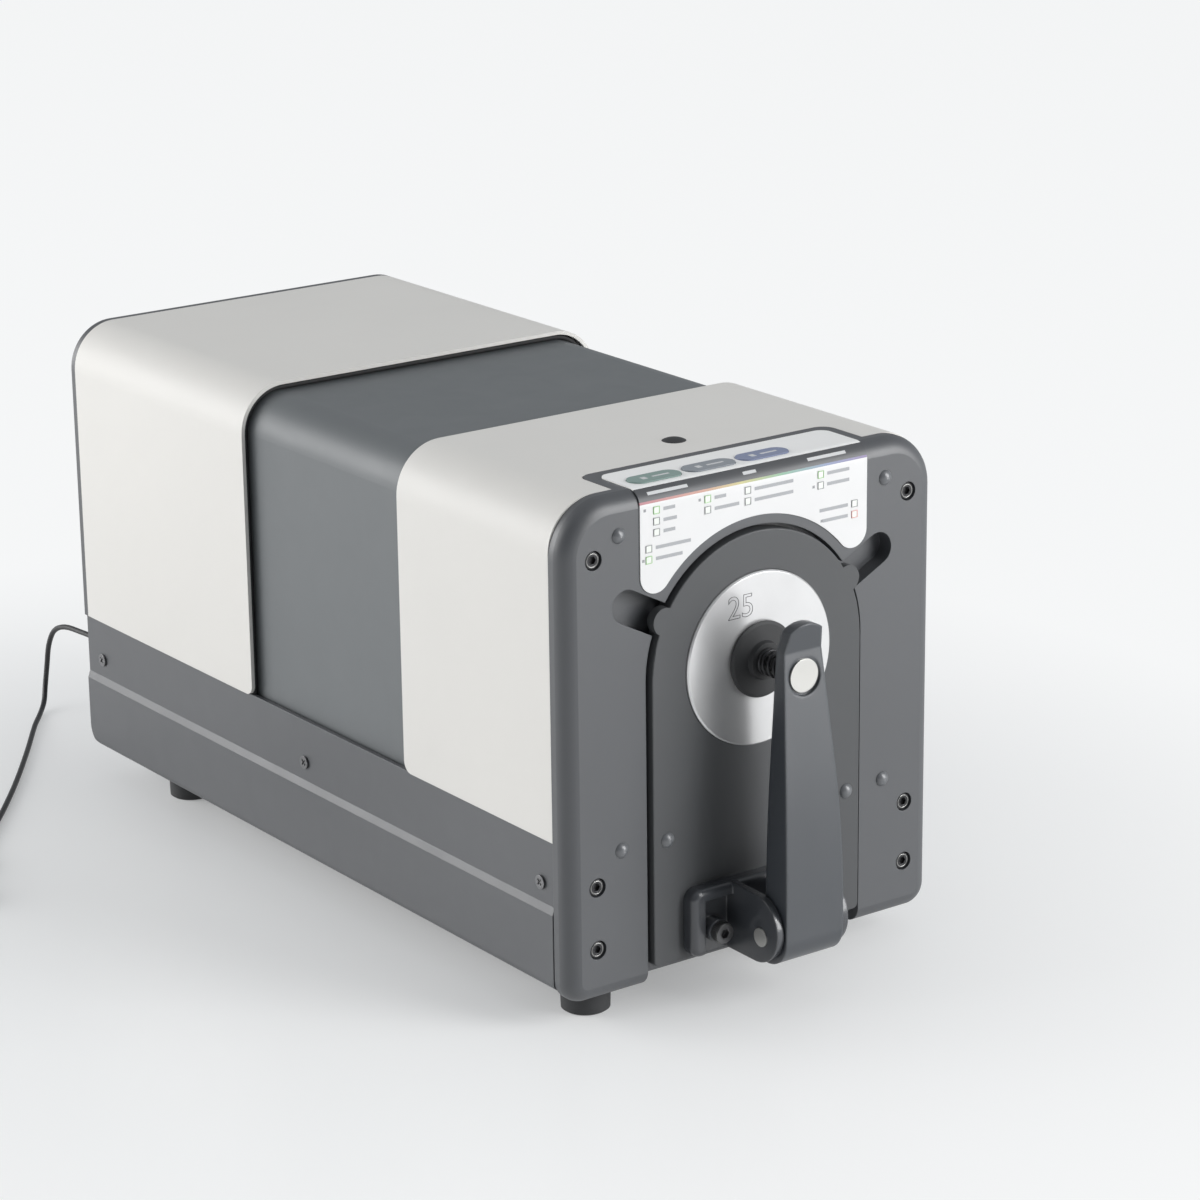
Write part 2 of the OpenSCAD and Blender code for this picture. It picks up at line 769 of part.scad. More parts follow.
module sample_arm() {
    color("#46484b") difference() {
        union() {
            difference() {
                intersection() {
                    along_x(-arm_half, arm_w) arm_side_2d();
                    along_y(arm_y - 1, arm_reach) arm_front_2d(0);
                }
                intersection() {
                    along_x(-arm_half, arm_w) arm_hollow_2d();
                    along_y(arm_y - 1, arm_reach) arm_front_2d(arm_side);
                }
            }
            rod_y(0, arm_pad_y + 1, aperture_z, sleeve_r, arm_wall - 1 + sleeve_l);
            rod_y(0, arm_pad_y + 1, aperture_z, seat_r, arm_wall - 1 + seat_h);
        }
        rod_y(0, arm_pad_y + 1.8, aperture_z, stud_r + running, arm_wall + sleeve_l);
        rod_y(0, arm_pad_y - 5, aperture_z, badge_d / 2 + badge_groove, 6);
        rod_x(-arm_half - 1, pin_y, pin_z, pin_r + running, arm_w + 2);
    }
}

// blank disc in the arm's front recess
module arm_badge() {
    color("#c8c4b8") rod_y(0, arm_pad_y, aperture_z, badge_d / 2, 1);
}

module sample_pad() {
    color("#2c2d2f") translate([0, pad_y, aperture_z]) rotate([90, 0, 0]) rotate_extrude()
        polygon([[0, 0], [pad_r - 1, 0], [pad_r, 1], [pad_r, pad_t - 1.2], [pad_r - 1.5, pad_t - 0.4],
            [hub_r, pad_t], [hub_r - 0.8, pad_t + hub_t], [stud_r, pad_t + hub_t], [stud_r, stud_l],
            [0, stud_l]]);
}

function unit(v) = v / norm(v);

// heading of a path at point i, from its neighbours
function heading(path, i) = unit(path[min(i + 1, len(path) - 1)] - path[max(i - 1, 0)]);

// round tube along a path; sides_at holds a direction across the path at each point
module tube(path, sides_at, r, n) {
    rings = [for (i = [0 : len(path) - 1])
        let (t = heading(path, i), b = unit(cross(t, sides_at[i])), a = cross(b, t))
        for (k = [0 : n - 1]) path[i] + r * (cos(360 * k / n) * a + sin(360 * k / n) * b)];
    last = n * (len(path) - 1);
    walls = [for (i = [0 : len(path) - 2], k = [0 : n - 1])
        let (p = i * n + k, q = i * n + (k + 1) % n)
        each [[p, q, q + n], [p, q + n, p + n]]];
    caps = [for (k = [1 : n - 2]) each [[0, k + 1, k], [last, last + k, last + k + 1]]];
    polyhedron(rings, [for (f = concat(walls, caps)) [f[0], f[2], f[1]]]);
}

// least distance between the surfaces of a tube's turns, on its path's points
function turn_gap(path, skip, d) = min([for (i = [0 : len(path) - 1 - skip])
    for (j = [i + skip : len(path) - 1]) norm(path[i] - path[j])]) - d;

// spring path about an axis along Y, with straight ends of one wire diameter
spring_n = spring_curls * 8;
spring_l = spring_y0 - spring_y1 - 2 * spring_wire;
function spring_arm(i) = [cos(i * 45), 0, sin(i * 45)];
spring_path = concat(
    [[spring_r, spring_y0, aperture_z], [spring_r, spring_y0 - spring_wire * 0.7, aperture_z]],
    [for (i = [0 : spring_n]) [0, spring_y0 - spring_wire - spring_l * i / spring_n, aperture_z]
        + spring_r * spring_arm(i)],
    [[spring_r, spring_y1 + spring_wire * 0.7, aperture_z], [spring_r, spring_y1, aperture_z]]);

module pad_spring() {
    across = [for (p = spring_path) unit([p[0], 0, p[2] - aperture_z])];
    color("#26272a") tube(spring_path, across, spring_wire / 2, 6);
}

// close-wound spring on the hinge pin, with one leg up the arm and one back to the bracket
twist_wire = 1.8;
twist_r = pin_r + 0.3 + twist_wire / 2;
twist_n = 6 * 8;
twist_step = 2.4;
twist_half = twist_step * twist_n / 16;
function twist_arm(i) = [0, cos(i * 45), sin(i * 45)];
twist_path = concat(
    [[-twist_half, pin_y + twist_r, pin_z + 14], [-twist_half, pin_y + twist_r, pin_z + 10],
        [-twist_half, pin_y + twist_r, pin_z + 5]],
    [for (i = [0 : twist_n]) [-twist_half + twist_step * i / 8, pin_y, pin_z] + twist_r * twist_arm(-i)],
    [[twist_half, pin_y + twist_r, pin_z - 5]]);

module torsion_spring() {
    color("#8f9193") tube(twist_path, [for (p = twist_path) [1, 0, 0]], twist_wire / 2, 6);
}

// square corner less its round, to round a cover's lower corner at y; towards = 1 cuts at larger y
module corner_cut(y, towards) {
    along_x(-half - 1, body_w + 2) translate([y, cover_z]) mirror([towards > 0 ? 0 : 1, 0]) difference() {
        translate([-cover_corner_r, -1]) square([cover_corner_r + 1, cover_corner_r + 1]);
        translate([-cover_corner_r, cover_corner_r]) circle(cover_corner_r);
    }
}

module front_cover() {
    color("#dcdad5") difference() {
        hood_shell(half, top_z, shoulder_r, cover_z, cover_t, yb, front_cover_l);
        corner_cut(yc1, 1);
        translate([0, 0, top_z - tongue_t]) linear_extrude(tongue_t + 1)
            tongue_2d(tongue_half + fit, yf, yf + tongue_l + fit, tongue_r);
        translate([0, plug_hole_y, top_z - cover_t - 1])
            cylinder(h = cover_t + 2, r = plug_stem_r + running);
    }
}

// low dome that closes a hole in the front cover
module cover_plug() {
    color("#505356") translate([0, plug_hole_y, top_z]) rotate_extrude() {
        dome_2d(plug_dome_r, plug_dome_h);
        translate([0, -cover_t - 1]) square([plug_stem_r, cover_t + 1]);
    }
}

module sliding_cover() {
    color("#8b9196") hood_shell(slide_half, slide_top, slide_r, slide_low, cover_t, yc1 - slide_tuck,
        chamber_l + 2 * slide_tuck);
}

module rear_cover() {
    color("#dcdad5") difference() {
        hood_shell(half, top_z, shoulder_r, cover_z, cover_t, yc2, yp - yc2);
        corner_cut(yc2, -1);
    }
}

// grooved runners inside the side bands
module slide_rails() {
    color("#2f3133") both_sides() difference() {
        box(rail_x0, wall_y1, rail_z0, tray_half, yp, rail_z1);
        box(rail_x0 + rail_wall, wall_y1 - 1, slide_low - fit, slide_half + rail_gap, yp + 1, rail_z1 + 1);
    }
}

module tray_section_2d() {
    r = 4;
    translate([r - half, base_z]) square([body_w - 2 * r, r + 1]);
    for (s = [-1, 1]) translate([s * (half - r), base_z + r]) circle(r);
    polygon([[-half, base_z + r], [half, base_z + r], [half, ledge_z - ledge_h], [band_half, ledge_z],
        [band_half, cover_z], [-band_half, cover_z], [-band_half, ledge_z], [-half, ledge_z - ledge_h]]);
}

// side outline with a round lower rear corner
module tray_side_2d(y1, z0, r, z1) {
    translate([yb - 1, z0]) square([y1 - r - yb + 1, z1 - z0]);
    translate([yb, z0 + r]) square([y1 - yb, z1 - z0 - r]);
    translate([y1 - r, z0 + r]) circle(r);
}

module at_feet() {
    for (x = [foot_inset - half, half - foot_inset_right], y = [yf + foot_front, yr - foot_rear])
        translate([x, y, 0]) children();
}

module base_tray() {
    color("#55585b") difference() {
        intersection() {
            along_y(yb, yr - yb) tray_section_2d();
            along_x(-half, body_w) tray_side_2d(yr, base_z, rear_corner_r, cover_z);
        }
        along_x(-tray_half, 2 * tray_half)
            tray_side_2d(yr - tray_t, floor_z, rear_corner_r - tray_t, cover_z + 1);
        both_sides() box(band_half, yb - 1, base_z - 1, half + 1, yb + skirt_gap, ledge_z);
        at_feet() translate([0, 0, base_z - 1]) cylinder(h = tray_t + 2, r = foot_stem_r + running);
        for (s = [-1, 1], y = side_screw_ys)
            rod_x(s * half - 6, y, side_screw_z, screw_shank_r + running, 12);
        rod_y(inlet_x, yr - 10, port_z, inlet_r + running, 20);
        box(serial_x - 10, yr - 10, port_z - 5, serial_x + 10, yr + 1, port_z + 5);
        switch_block(switch_half_w, switch_half_h, yr - 10, yr + 1);
    }
}

// cross-recessed pan head screws through the side bands
module side_screws() {
    color("#3a3c3e") both_sides() for (y = side_screw_ys) difference() {
        union() {
            rod_x(band_half, y, side_screw_z, side_head_r, side_head_h);
            rod_x(tray_half - 1, y, side_screw_z, screw_shank_r, band_t + 1);
        }
        for (a = [45, 135]) translate([band_half + side_head_h, y, side_screw_z]) rotate([a, 0, 0])
            cube([1.4, 4, 0.9], center = true);
    }
}

// round rubber feet with a recessed underside, each on a stem through the tray
module feet() {
    r = foot_d / 2;
    color("#232426") at_feet() rotate_extrude()
        polygon([[0, 2], [foot_recess_r, 2], [foot_recess_r, 0], [r - 2, 0], [r - 0.6, 1], [r, base_z],
            [foot_stem_r, base_z], [foot_stem_r, floor_z], [0, floor_z]]);
}

// plate behind the bezel, with the hole for the sphere's port
module front_bulkhead() {
    color("#a9acae") difference() {
        along_y(yb, wall_t) hood_2d(tray_half - fit, top_z - tongue_t - fit, shoulder_r - 4, floor_z);
        rod_y(0, yb - 1, aperture_z, snout_r + fit, wall_t + 2);
        at_bezel_screws() rod_y(0, yb - 1, 0, screw_shank_r + running, wall_t + 2);
    }
}

// wall between the sphere and the chamber
module chamber_front_wall() {
    color("#3a3c3e") difference() {
        along_y(wall_y1 - wall_t, wall_t)
            hood_2d(tray_half - fit, top_z - cover_t - fit, shoulder_r - cover_t, floor_z);
        rod_y(0, wall_y1 - wall_t - 1, aperture_z, trans_r, wall_t + 2);
    }
}

// shallow tray that forms the chamber's floor
module chamber_floor() {
    lip = 2;
    color("#3a3c3e") difference() {
        box(-inner_half, wall_y1, chamber_z, inner_half, wall_y2, chamber_z + 6);
        box(lip - inner_half, wall_y1 + lip, chamber_z + 2.5, inner_half - lip, wall_y2 - lip,
            chamber_z + 7);
    }
}

// rear wall of the chamber with the shelf for the spectrometer and its two legs
module rear_chassis() {
    shelf_y = spectro_y + spectro_l + 12;
    shelf_half = spectro_half + 12;
    color("#8f9294") difference() {
        union() {
            along_y(wall_y2, wall_t) hood_2d(inner_half, inner_top, inner_r, floor_z);
            box(-shelf_half, wall_y2, shelf_z - wall_t, shelf_half, shelf_y, shelf_z);
            both_sides() box(shelf_half - wall_t, wall_y2, floor_z, shelf_half, shelf_y, shelf_z);
        }
        rod_y(0, wall_y2 - 1, aperture_z, trans_r, wall_t + 2);
    }
}

// front half of the integrating sphere, with the snout that reaches the aperture plate
module sphere_front() {
    y0 = yf + pocket_d;
    color("#eceae4") difference() {
        union() {
            intersection() {
                translate([0, sphere_y, aperture_z]) sphere(sphere_r);
                box(-sphere_r, sphere_y - sphere_r, aperture_z - sphere_r, sphere_r, sphere_y,
                    aperture_z + sphere_r);
            }
            rod_y(0, sphere_y - wall_t, aperture_z, flange_r, wall_t);
            rod_y(0, y0, aperture_z, snout_r, sphere_y - sphere_r * 0.8 - y0);
        }
        translate([0, sphere_y, aperture_z]) sphere(sphere_r - sphere_t);
        rod_y(0, y0 - 1, aperture_z, snout_r - 3, sphere_y - y0);
    }
}

// rear half of the sphere, with the transmission port and the lamp port
module sphere_rear() {
    color("#eceae4") difference() {
        union() {
            intersection() {
                translate([0, sphere_y, aperture_z]) sphere(sphere_r);
                box(-sphere_r, sphere_y, aperture_z - sphere_r, sphere_r, sphere_y + sphere_r,
                    aperture_z + sphere_r);
            }
            rod_y(0, sphere_y, aperture_z, flange_r, wall_t);
            rod_y(0, sphere_y + sphere_r * 0.8, aperture_z, trans_r + 3,
                wall_y1 - wall_t - sphere_y - sphere_r * 0.8);
        }
        translate([0, sphere_y, aperture_z]) sphere(sphere_r - sphere_t);
        rod_y(0, sphere_y, aperture_z, trans_r, front_cover_l);
        rod_x(0, lamp_y, aperture_z, lamp_port_r, sphere_r + 1);
    }
}

// saddle under the sphere's flange
module sphere_stand() {
    color("#8f9294") difference() {
        box(-stand_half, sphere_y - wall_t - 4, floor_z, stand_half, sphere_y + wall_t + 4,
            aperture_z - flange_r * 0.85);
        rod_y(0, sphere_y - stand_half, aperture_z, sphere_r + 1, 2 * stand_half);
        rod_y(0, sphere_y - wall_t - fit, aperture_z, flange_r + fit, 2 * (wall_t + fit));
    }
}

// vented housing of the flash lamp, with a tube to the sphere
module lamp_housing() {
    z0 = aperture_z - lamp_h / 2;
    y0 = lamp_y - lamp_l / 2;
    color("#6b6e70") difference() {
        union() {
            box(lamp_x, y0, z0, lamp_x + lamp_w, y0 + lamp_l, z0 + lamp_h);
            rod_x(sphere_r * 0.7, lamp_y, aperture_z, lamp_port_r + lamp_t, lamp_x - sphere_r * 0.7 + 1);
        }
        translate([0, sphere_y, aperture_z]) sphere(sphere_r + 0.2);
        box(lamp_x + lamp_t, y0 + lamp_t, z0 + lamp_t, lamp_x + lamp_w - lamp_t, y0 + lamp_l - lamp_t,
            z0 + lamp_h - lamp_t);
        rod_x(0, lamp_y, aperture_z, lamp_port_r, lamp_x + lamp_t + 1);
        for (i = [0 : 4]) translate([0, 0, z0 + 10 + i * vent_pitch])
            box(lamp_x + lamp_w - lamp_t - 1, y0 + 6, 0, lamp_x + lamp_w + 1, y0 + lamp_l - 6, vent_h);
    }
}

// xenon flash tube on its ceramic foot
module flash_lamp() {
    z0 = aperture_z - lamp_h / 2 + lamp_t;
    color("#d8e4ea") translate([lamp_x + lamp_w / 2, lamp_y, z0]) rotate_extrude()
        polygon([[0, 0], [11, 0], [11, 8], [6, 10], [6, 14], [7.5, 16], [7.5, 46], [5, 50], [0, 51]]);
}

module lens_tube() {
    y0 = wall_y2 + wall_t;
    color("#2f3133") translate([0, y0, aperture_z]) rotate([-90, 0, 0]) rotate_extrude()
        polygon([[trans_r, 0], [trans_r + 8, 0], [trans_r + 8, 3], [trans_r + 3, 3],
            [trans_r + 3, spectro_y - y0], [trans_r, spectro_y - y0]]);
}

// plano-convex lens held in the tube's mouth
module transmission_lens() {
    r = trans_r - running;
    edge = 3;
    color("#cfe6ee") translate([0, wall_y2 + wall_t + 4, aperture_z]) rotate([-90, 0, 0]) rotate_extrude() {
        square([r, edge]);
        translate([0, edge]) dome_2d(r, 5);
    }
}

module spectrometer_case() {
    y1 = spectro_y + spectro_l;
    color("#4a4d50") difference() {
        box(-spectro_half, spectro_y, shelf_z, spectro_half, y1, shelf_z + spectro_h);
        box(spectro_t - spectro_half, spectro_y + spectro_t, shelf_z + spectro_t, spectro_half - spectro_t,
            y1 - spectro_t, shelf_z + spectro_h + 1);
        rod_y(0, spectro_y - 1, aperture_z, trans_r - 6, spectro_t + 2);
    }
}

module spectrometer_lid() {
    z0 = shelf_z + spectro_h;
    plug_half = spectro_half - spectro_t - fit;
    color("#4a4d50") {
        box(-spectro_half, spectro_y, z0, spectro_half, spectro_y + spectro_l, z0 + spectro_t);
        box(-plug_half, spectro_y + spectro_t + fit, z0 - 3, plug_half,
            spectro_y + spectro_l - spectro_t - fit, z0);
    }
}

// concave grating on its pillar
module grating() {
    y1 = spectro_y + spectro_l - spectro_t - grating_t / 2;
    y0 = y1 - grating_t;
    color("#9fb6c9") difference() {
        box(-grating_half, y0, shelf_z + spectro_t, grating_half, y1, aperture_z + grating_half);
        rod_x(-grating_half - 1, y0 + 2 - grating_curve_r, aperture_z, grating_curve_r,
            2 * grating_half + 2);
    }
}

// detector array on its small board beside the entrance
module detector_board() {
    x0 = spectro_half * 0.58;
    y = spectro_y + spectro_l * 0.36;
    z0 = shelf_z + spectro_t;
    color("#2f7a4c") {
        box(x0, y - detector_half, z0, x0 + board_t, y + detector_half, z0 + detector_h);
        box(x0 - 5, y - chip_half, aperture_z - 8 - chip_half, x0, y + chip_half, aperture_z - 8);
    }
}

// main board under the chamber
module main_board() {
    row_half = main_half * 0.75;
    color("#2f7a4c") {
        box(-main_half, main_y0, board_z, main_half, main_y1, board_z + board_t);
        for (i = [-1 : 1]) translate([i * main_half * 0.62, main_y0 + main_row + main_chip, board_z])
            box(-main_chip, -main_chip, board_t, main_chip, main_chip, board_t + 3.4);
        box(-row_half, main_y1 - main_row - main_row_w, board_z + board_t, row_half, main_y1 - main_row,
            board_z + main_row_h);
    }
}

module board_posts() {
    x = main_half - post_inset;
    color("#b9a55c") for (s = [-1, 1], y = [main_y0 + post_inset, main_y1 - post_inset])
        translate([s * x, y, floor_z]) cylinder(h = board_z - floor_z, r = 3.5, $fn = 6);
}

// flash supply: board and two storage capacitors in front of the sphere's saddle
module flash_board() {
    y0 = yb + wall_t + 6;
    y1 = sphere_y - wall_t - 10;
    color("#3b5c8c") {
        box(-flash_half, y0, floor_z, flash_half, y1, floor_z + 6);
        for (s = [-1, 1]) translate([s * flash_half / 2, (y0 + y1) / 2, floor_z + 6])
            cylinder(h = capacitor_h, r = capacitor_r);
    }
}

// plate that closes the rear above the tray, with a row of vents
module rear_panel() {
    color("#55585b") difference() {
        along_y(yp, rear_t) hood_2d(half, top_z, shoulder_r, cover_z);
        for (i = [-5 : 5]) translate([i * 13, 0, top_z - 60])
            along_y(yp - 1, rear_t + 2) rotate(90) pill_2d(44, 4);
    }
}

// threaded jack with its collar
module dc_inlet() {
    color("#2f3133") difference() {
        union() {
            rod_y(inlet_x, yr - 14, port_z, inlet_r, 14);
            rod_y(inlet_x, yr, port_z, inlet_r + 2, inlet_collar);
        }
        rod_y(inlet_x, yr - 10, port_z, jack_r + 0.1, 20);
    }
}

module d_shell_2d(w, h) {
    polygon([[-w / 2, h / 2], [w / 2, h / 2], [w / 2 - 1.4, -h / 2], [1.4 - w / 2, -h / 2]]);
}

// nine-way serial connector: flange, shell and two hexagon posts
module serial_connector() {
    color("#c3c5c6") translate([serial_x, 0, port_z]) {
        along_y(yr, 1) square([31, 12.5], center = true);
        along_y(yr - 9, 9) square([19, 9], center = true);
        along_y(yr + 1, rear_reach - 1) difference() {
            d_shell_2d(18, 9);
            d_shell_2d(16.8, 7.8);
        }
        along_y(yr + 1, rear_reach - 3) d_shell_2d(16.8, 7.8);
        for (s = [-1, 1]) translate([s * 12.5, yr + 1, 0]) rotate([-90, 0, 0])
            cylinder(h = 4, r = 2.6, $fn = 6);
    }
}

// a block about the switch's middle, from y0 to y1
module switch_block(w, h, y0, y1) {
    box(switch_x - w, y0, port_z - h, switch_x + w, y1, port_z + h);
}

module switch_housing() {
    color("#232426") difference() {
        union() {
            switch_block(switch_half_w - fit, switch_half_h - fit, yr - 18, yr);
            switch_block(switch_half_w + 1.5, switch_half_h + 1.5, yr, yr + 1.4);
        }
        switch_block(rocker_w / 2 + fit, rocker_r + fit, rocker_y - rocker_r - 1, yr + 2);
        rod_x(switch_x - rocker_w / 2 - 1.5, rocker_y, port_z, rocker_pin_r + running, rocker_w + 3);
    }
}

// rocker whose ends stay inside a round about its pivot
module switch_rocker() {
    color("#1d1e20") {
        translate([0, rocker_y, port_z]) rotate([rocker_tilt, 0, 0])
            along_x(switch_x - rocker_w / 2, rocker_w) intersection() {
                circle(rocker_r);
                polygon([[-5, -9], [1.2, -9], [4.2, 0], [1.2, 9], [-5, 9]]);
            }
        rod_x(switch_x - rocker_w / 2 - 1.2, rocker_y, port_z, rocker_pin_r, rocker_w + 2.4);
    }
}

// plug with its barrel in the jack and a tapered strain relief
module cord_plug() {
    color("#1f2022") translate([inlet_x, plug_y, port_z]) rotate([-90, 0, 0]) rotate_extrude()
        polygon([[0, -9], [jack_r - 0.2, -9], [jack_r - 0.2, 0], [plug_r - 0.8, 0], [plug_r, 0.8],
            [plug_r, plug_l - 4], [plug_r * 0.62, plug_l], [cord_r + 0.3, plug_l + relief_l],
            [0, plug_l + relief_l]]);
}

// smooth curve through hand-picked points
function through(p, i, u) =
    let (a = p[max(i - 1, 0)], b = p[i], c = p[i + 1], d = p[min(i + 2, len(p) - 1)])
    0.5 * (2 * b + u * (c - a) + u * u * (2 * a - 5 * b + 4 * c - d) + u * u * u * (3 * b - 3 * c + d - a));

// the coil winds clockwise seen from above, in on the lower layer and out again on the upper one
coil_turn0 = coil_heading + 90;
coil_mid = [coil_start[0] - coil_out * cos(coil_turn0), coil_start[1] - coil_out * sin(coil_turn0), 0];
coil_n = coil_loops * 24;
function coil_radius(t) = coil_out - coil_step * (coil_loops / 2 - abs(t - coil_loops / 2));
function coil_rise(t) = coil_step * min(1, max(0, 2 * (t - coil_loops / 2) + 0.5));
function coil_point(t) = coil_mid + [coil_radius(t) * cos(coil_turn0 - 360 * t),
    coil_radius(t) * sin(coil_turn0 - 360 * t), coil_z + coil_rise(t)];
coil_way = [cos(coil_heading), sin(coil_heading), 0];
coil_path = concat([coil_point(0) - cord_d * coil_way], [for (i = [0 : coil_n]) coil_point(i / 24)],
    [coil_point(coil_loops) + coil_tail * coil_way]);
echo(coil_gap = turn_gap([for (i = [0 : coil_n]) coil_point(i / 24)], 12, cord_d));
echo(pad_spring_gap = turn_gap(spring_path, 5, spring_wire));
echo(hinge_spring_gap = turn_gap(twist_path, 6, twist_wire));

cord_route = concat([cord_start], cord_points, [coil_path[0]]);
cord_rings = 5;
cord_path = concat([for (i = [0 : len(cord_route) - 2], k = [0 : cord_rings - 1])
    through(cord_route, i, k / cord_rings)], [coil_path[0]]);

module cord_tube() {
    color("#1f2022") tube(cord_path, [for (p = cord_path) [1, 0, 0]], cord_r, 8);
}

module cord_coil() {
    color("#1f2022") tube(coil_path, [for (p = coil_path) [0, 0, 1]], cord_r, 6);
}

// strap round the wound loops, on the side away from the loose ends
module cord_tie() {
    a = coil_turn0 + 180;
    x0 = coil_out - coil_step * coil_loops / 2 - cord_r - fit;
    x1 = coil_out + cord_r + fit;
    h = coil_z + coil_step + cord_r + fit;
    color("#3a3c3e") translate(coil_mid) rotate(a) difference() {
        box(x0 - tie_t, -tie_w / 2, 0, x1 + tie_t, tie_w / 2, h + tie_t);
        box(x0, -tie_w, tie_t, x1, tie_w, h);
    }
}

// in-line connector at the far end of the lead
module cord_connector() {
    end = coil_path[len(coil_path) - 1];
    r = end[2];
    color("#1f2022") translate(end) rotate([0, 0, coil_heading]) rotate([0, 90, 0]) rotate_extrude()
        polygon([[0, 0], [cord_r + 0.3, 0], [r * 0.6, relief_l - 2], [r, relief_l + 1], [r, socket_l - 1],
            [r - 0.8, socket_l], [socket_r, socket_l], [socket_r, socket_l - 8], [0, socket_l - 8]]);
}

front_bezel();
bezel_screws();
bezel_bumpers();
control_overlay();
key_left();
key_middle();
key_right();
indicator_windows();
front_panel();
panel_bumpers();
aperture_plate();
hinge_bracket();
hinge_screws();
hinge_pin();
torsion_spring();
sample_arm();
arm_badge();
sample_pad();
pad_spring();
front_cover();
cover_plug();
sliding_cover();
rear_cover();
slide_rails();
base_tray();
side_screws();
feet();
front_bulkhead();
chamber_front_wall();
chamber_floor();
rear_chassis();
sphere_front();
sphere_rear();
sphere_stand();
lamp_housing();
flash_lamp();
lens_tube();
transmission_lens();
spectrometer_case();
spectrometer_lid();
grating();
detector_board();
main_board();
board_posts();
flash_board();
rear_panel();
dc_inlet();
serial_connector();
switch_housing();
switch_rocker();
cord_plug();
cord_tube();
cord_coil();
cord_tie();
cord_connector();
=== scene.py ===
# %% [markdown]
# # Benchtop spectrophotometer
# The instrument measures colour: a sprung arm holds a sample against a round aperture, and a sliding cover opens a
# chamber for clear samples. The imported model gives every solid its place, in metres, with Y to the back and Z up. This
# script adds what the eye sees: finishes, printed film, rims, wire and the lead.

# %% The frame
import json
import math

import bpy
from mathutils import Matrix, Vector


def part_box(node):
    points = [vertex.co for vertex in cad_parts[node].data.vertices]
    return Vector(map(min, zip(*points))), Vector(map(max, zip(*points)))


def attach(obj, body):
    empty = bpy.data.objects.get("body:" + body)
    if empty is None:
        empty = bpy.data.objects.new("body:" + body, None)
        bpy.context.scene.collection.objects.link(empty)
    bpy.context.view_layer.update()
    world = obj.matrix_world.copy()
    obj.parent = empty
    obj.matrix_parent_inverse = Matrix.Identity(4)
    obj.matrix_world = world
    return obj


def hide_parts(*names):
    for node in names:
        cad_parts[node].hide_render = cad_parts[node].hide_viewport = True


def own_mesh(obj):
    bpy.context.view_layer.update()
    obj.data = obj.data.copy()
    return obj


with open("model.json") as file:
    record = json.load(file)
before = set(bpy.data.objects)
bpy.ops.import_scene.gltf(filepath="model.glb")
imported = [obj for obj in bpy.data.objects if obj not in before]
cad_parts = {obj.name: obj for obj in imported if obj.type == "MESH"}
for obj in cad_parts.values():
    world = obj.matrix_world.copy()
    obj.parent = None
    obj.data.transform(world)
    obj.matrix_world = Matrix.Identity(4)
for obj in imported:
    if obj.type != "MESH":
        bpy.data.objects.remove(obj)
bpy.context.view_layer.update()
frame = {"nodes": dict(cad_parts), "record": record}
scene = bpy.context.scene
scene.view_settings.view_transform = "Standard"

# %% [markdown]
# ## Camera
# The picture was taken with a long lens from the front left, a little above the instrument. The lens is given for a
# frame 36 mm wide. The camera's three axes are written out from its heading, its tilt and a slight roll, because that
# is how they were solved from the edges of the body.

# %% Camera
EYE = Vector((-1.1053, -1.61575, 0.7623))
HEADING, TILT, ROLL = (math.radians(v) for v in (-35.893, 17.442, -0.723))
FOCUS_PIXELS, PICTURE_PIXELS, SENSOR = 3820.08, 1200.0, 36.0
back = Vector((math.sin(HEADING) * math.cos(TILT), -math.cos(HEADING) * math.cos(TILT), math.sin(TILT)))
level = Vector((math.cos(HEADING), math.sin(HEADING), 0.0))
upright = back.cross(level)
right = level * math.cos(ROLL) + upright * math.sin(ROLL)
up = upright * math.cos(ROLL) - level * math.sin(ROLL)

camera = bpy.data.objects.new("camera", bpy.data.cameras.new("camera"))
camera.data.sensor_width = SENSOR
camera.data.lens = SENSOR * FOCUS_PIXELS / PICTURE_PIXELS
camera.matrix_world = Matrix((right, up, back)).transposed().to_4x4()
camera.location = EYE
camera.data.clip_end = 50.0
scene.collection.objects.link(camera)
scene.camera = camera
print("lens", round(camera.data.lens, 1), "mm")

# %% [markdown]
# ## Power lead
# A thin low-voltage lead leaves the rear plug, drops to the table and runs forward beside the body. What the picture
# doesn't show of it is wound up and tied. A curve with a round bevel is the plainest way to a cord: each knot gets
# handles a third of the way to its neighbours, along the heading there, so that the line stays smooth where the
# spacing changes. The thickness is kept as each knot's radius, with a bevel of one, so that the curve's box is true.

# %% Route of the lead
MM = 0.001
# the route of the lead is written in millimetres
LEAD_R = 1.6
free_knots = [(-76, 295.75, 60), (-76, 318, 60), (-76, 340, 59), (-76, 360, 57), (-76, 374, 51), (-76, 382, 40),
              (-76, 386, 26), (-78, 386, 13), (-82, 381, 5), (-90, 371, 2), (-104, 352, 2), (-128, 316, 2),
              (-160, 270, 2), (-190, 230, 2), (-218, 195, 2.4)]
LOOPS, STEP, OUTER, LOW = 10, 3.7, 27.25, 2.7
LOOP_KNOTS, RUN_IN, TAIL = 24, 3.2, 22
COIL_START = (-240, 167)
coil_way = math.radians(232)
first_turn = math.radians(322)
coil_middle = (COIL_START[0] - OUTER * math.cos(first_turn), COIL_START[1] - OUTER * math.sin(first_turn))


def wound(t):
    """A point of the wound part after t loops: in on the lower layer, out again on the upper one."""
    r = OUTER - STEP * (LOOPS / 2 - abs(t - LOOPS / 2))
    angle = first_turn - 2 * math.pi * t
    rise = STEP * min(1.0, max(0.0, 2 * (t - LOOPS / 2) + 0.5))
    return (coil_middle[0] + r * math.cos(angle), coil_middle[1] + r * math.sin(angle), LOW + rise)


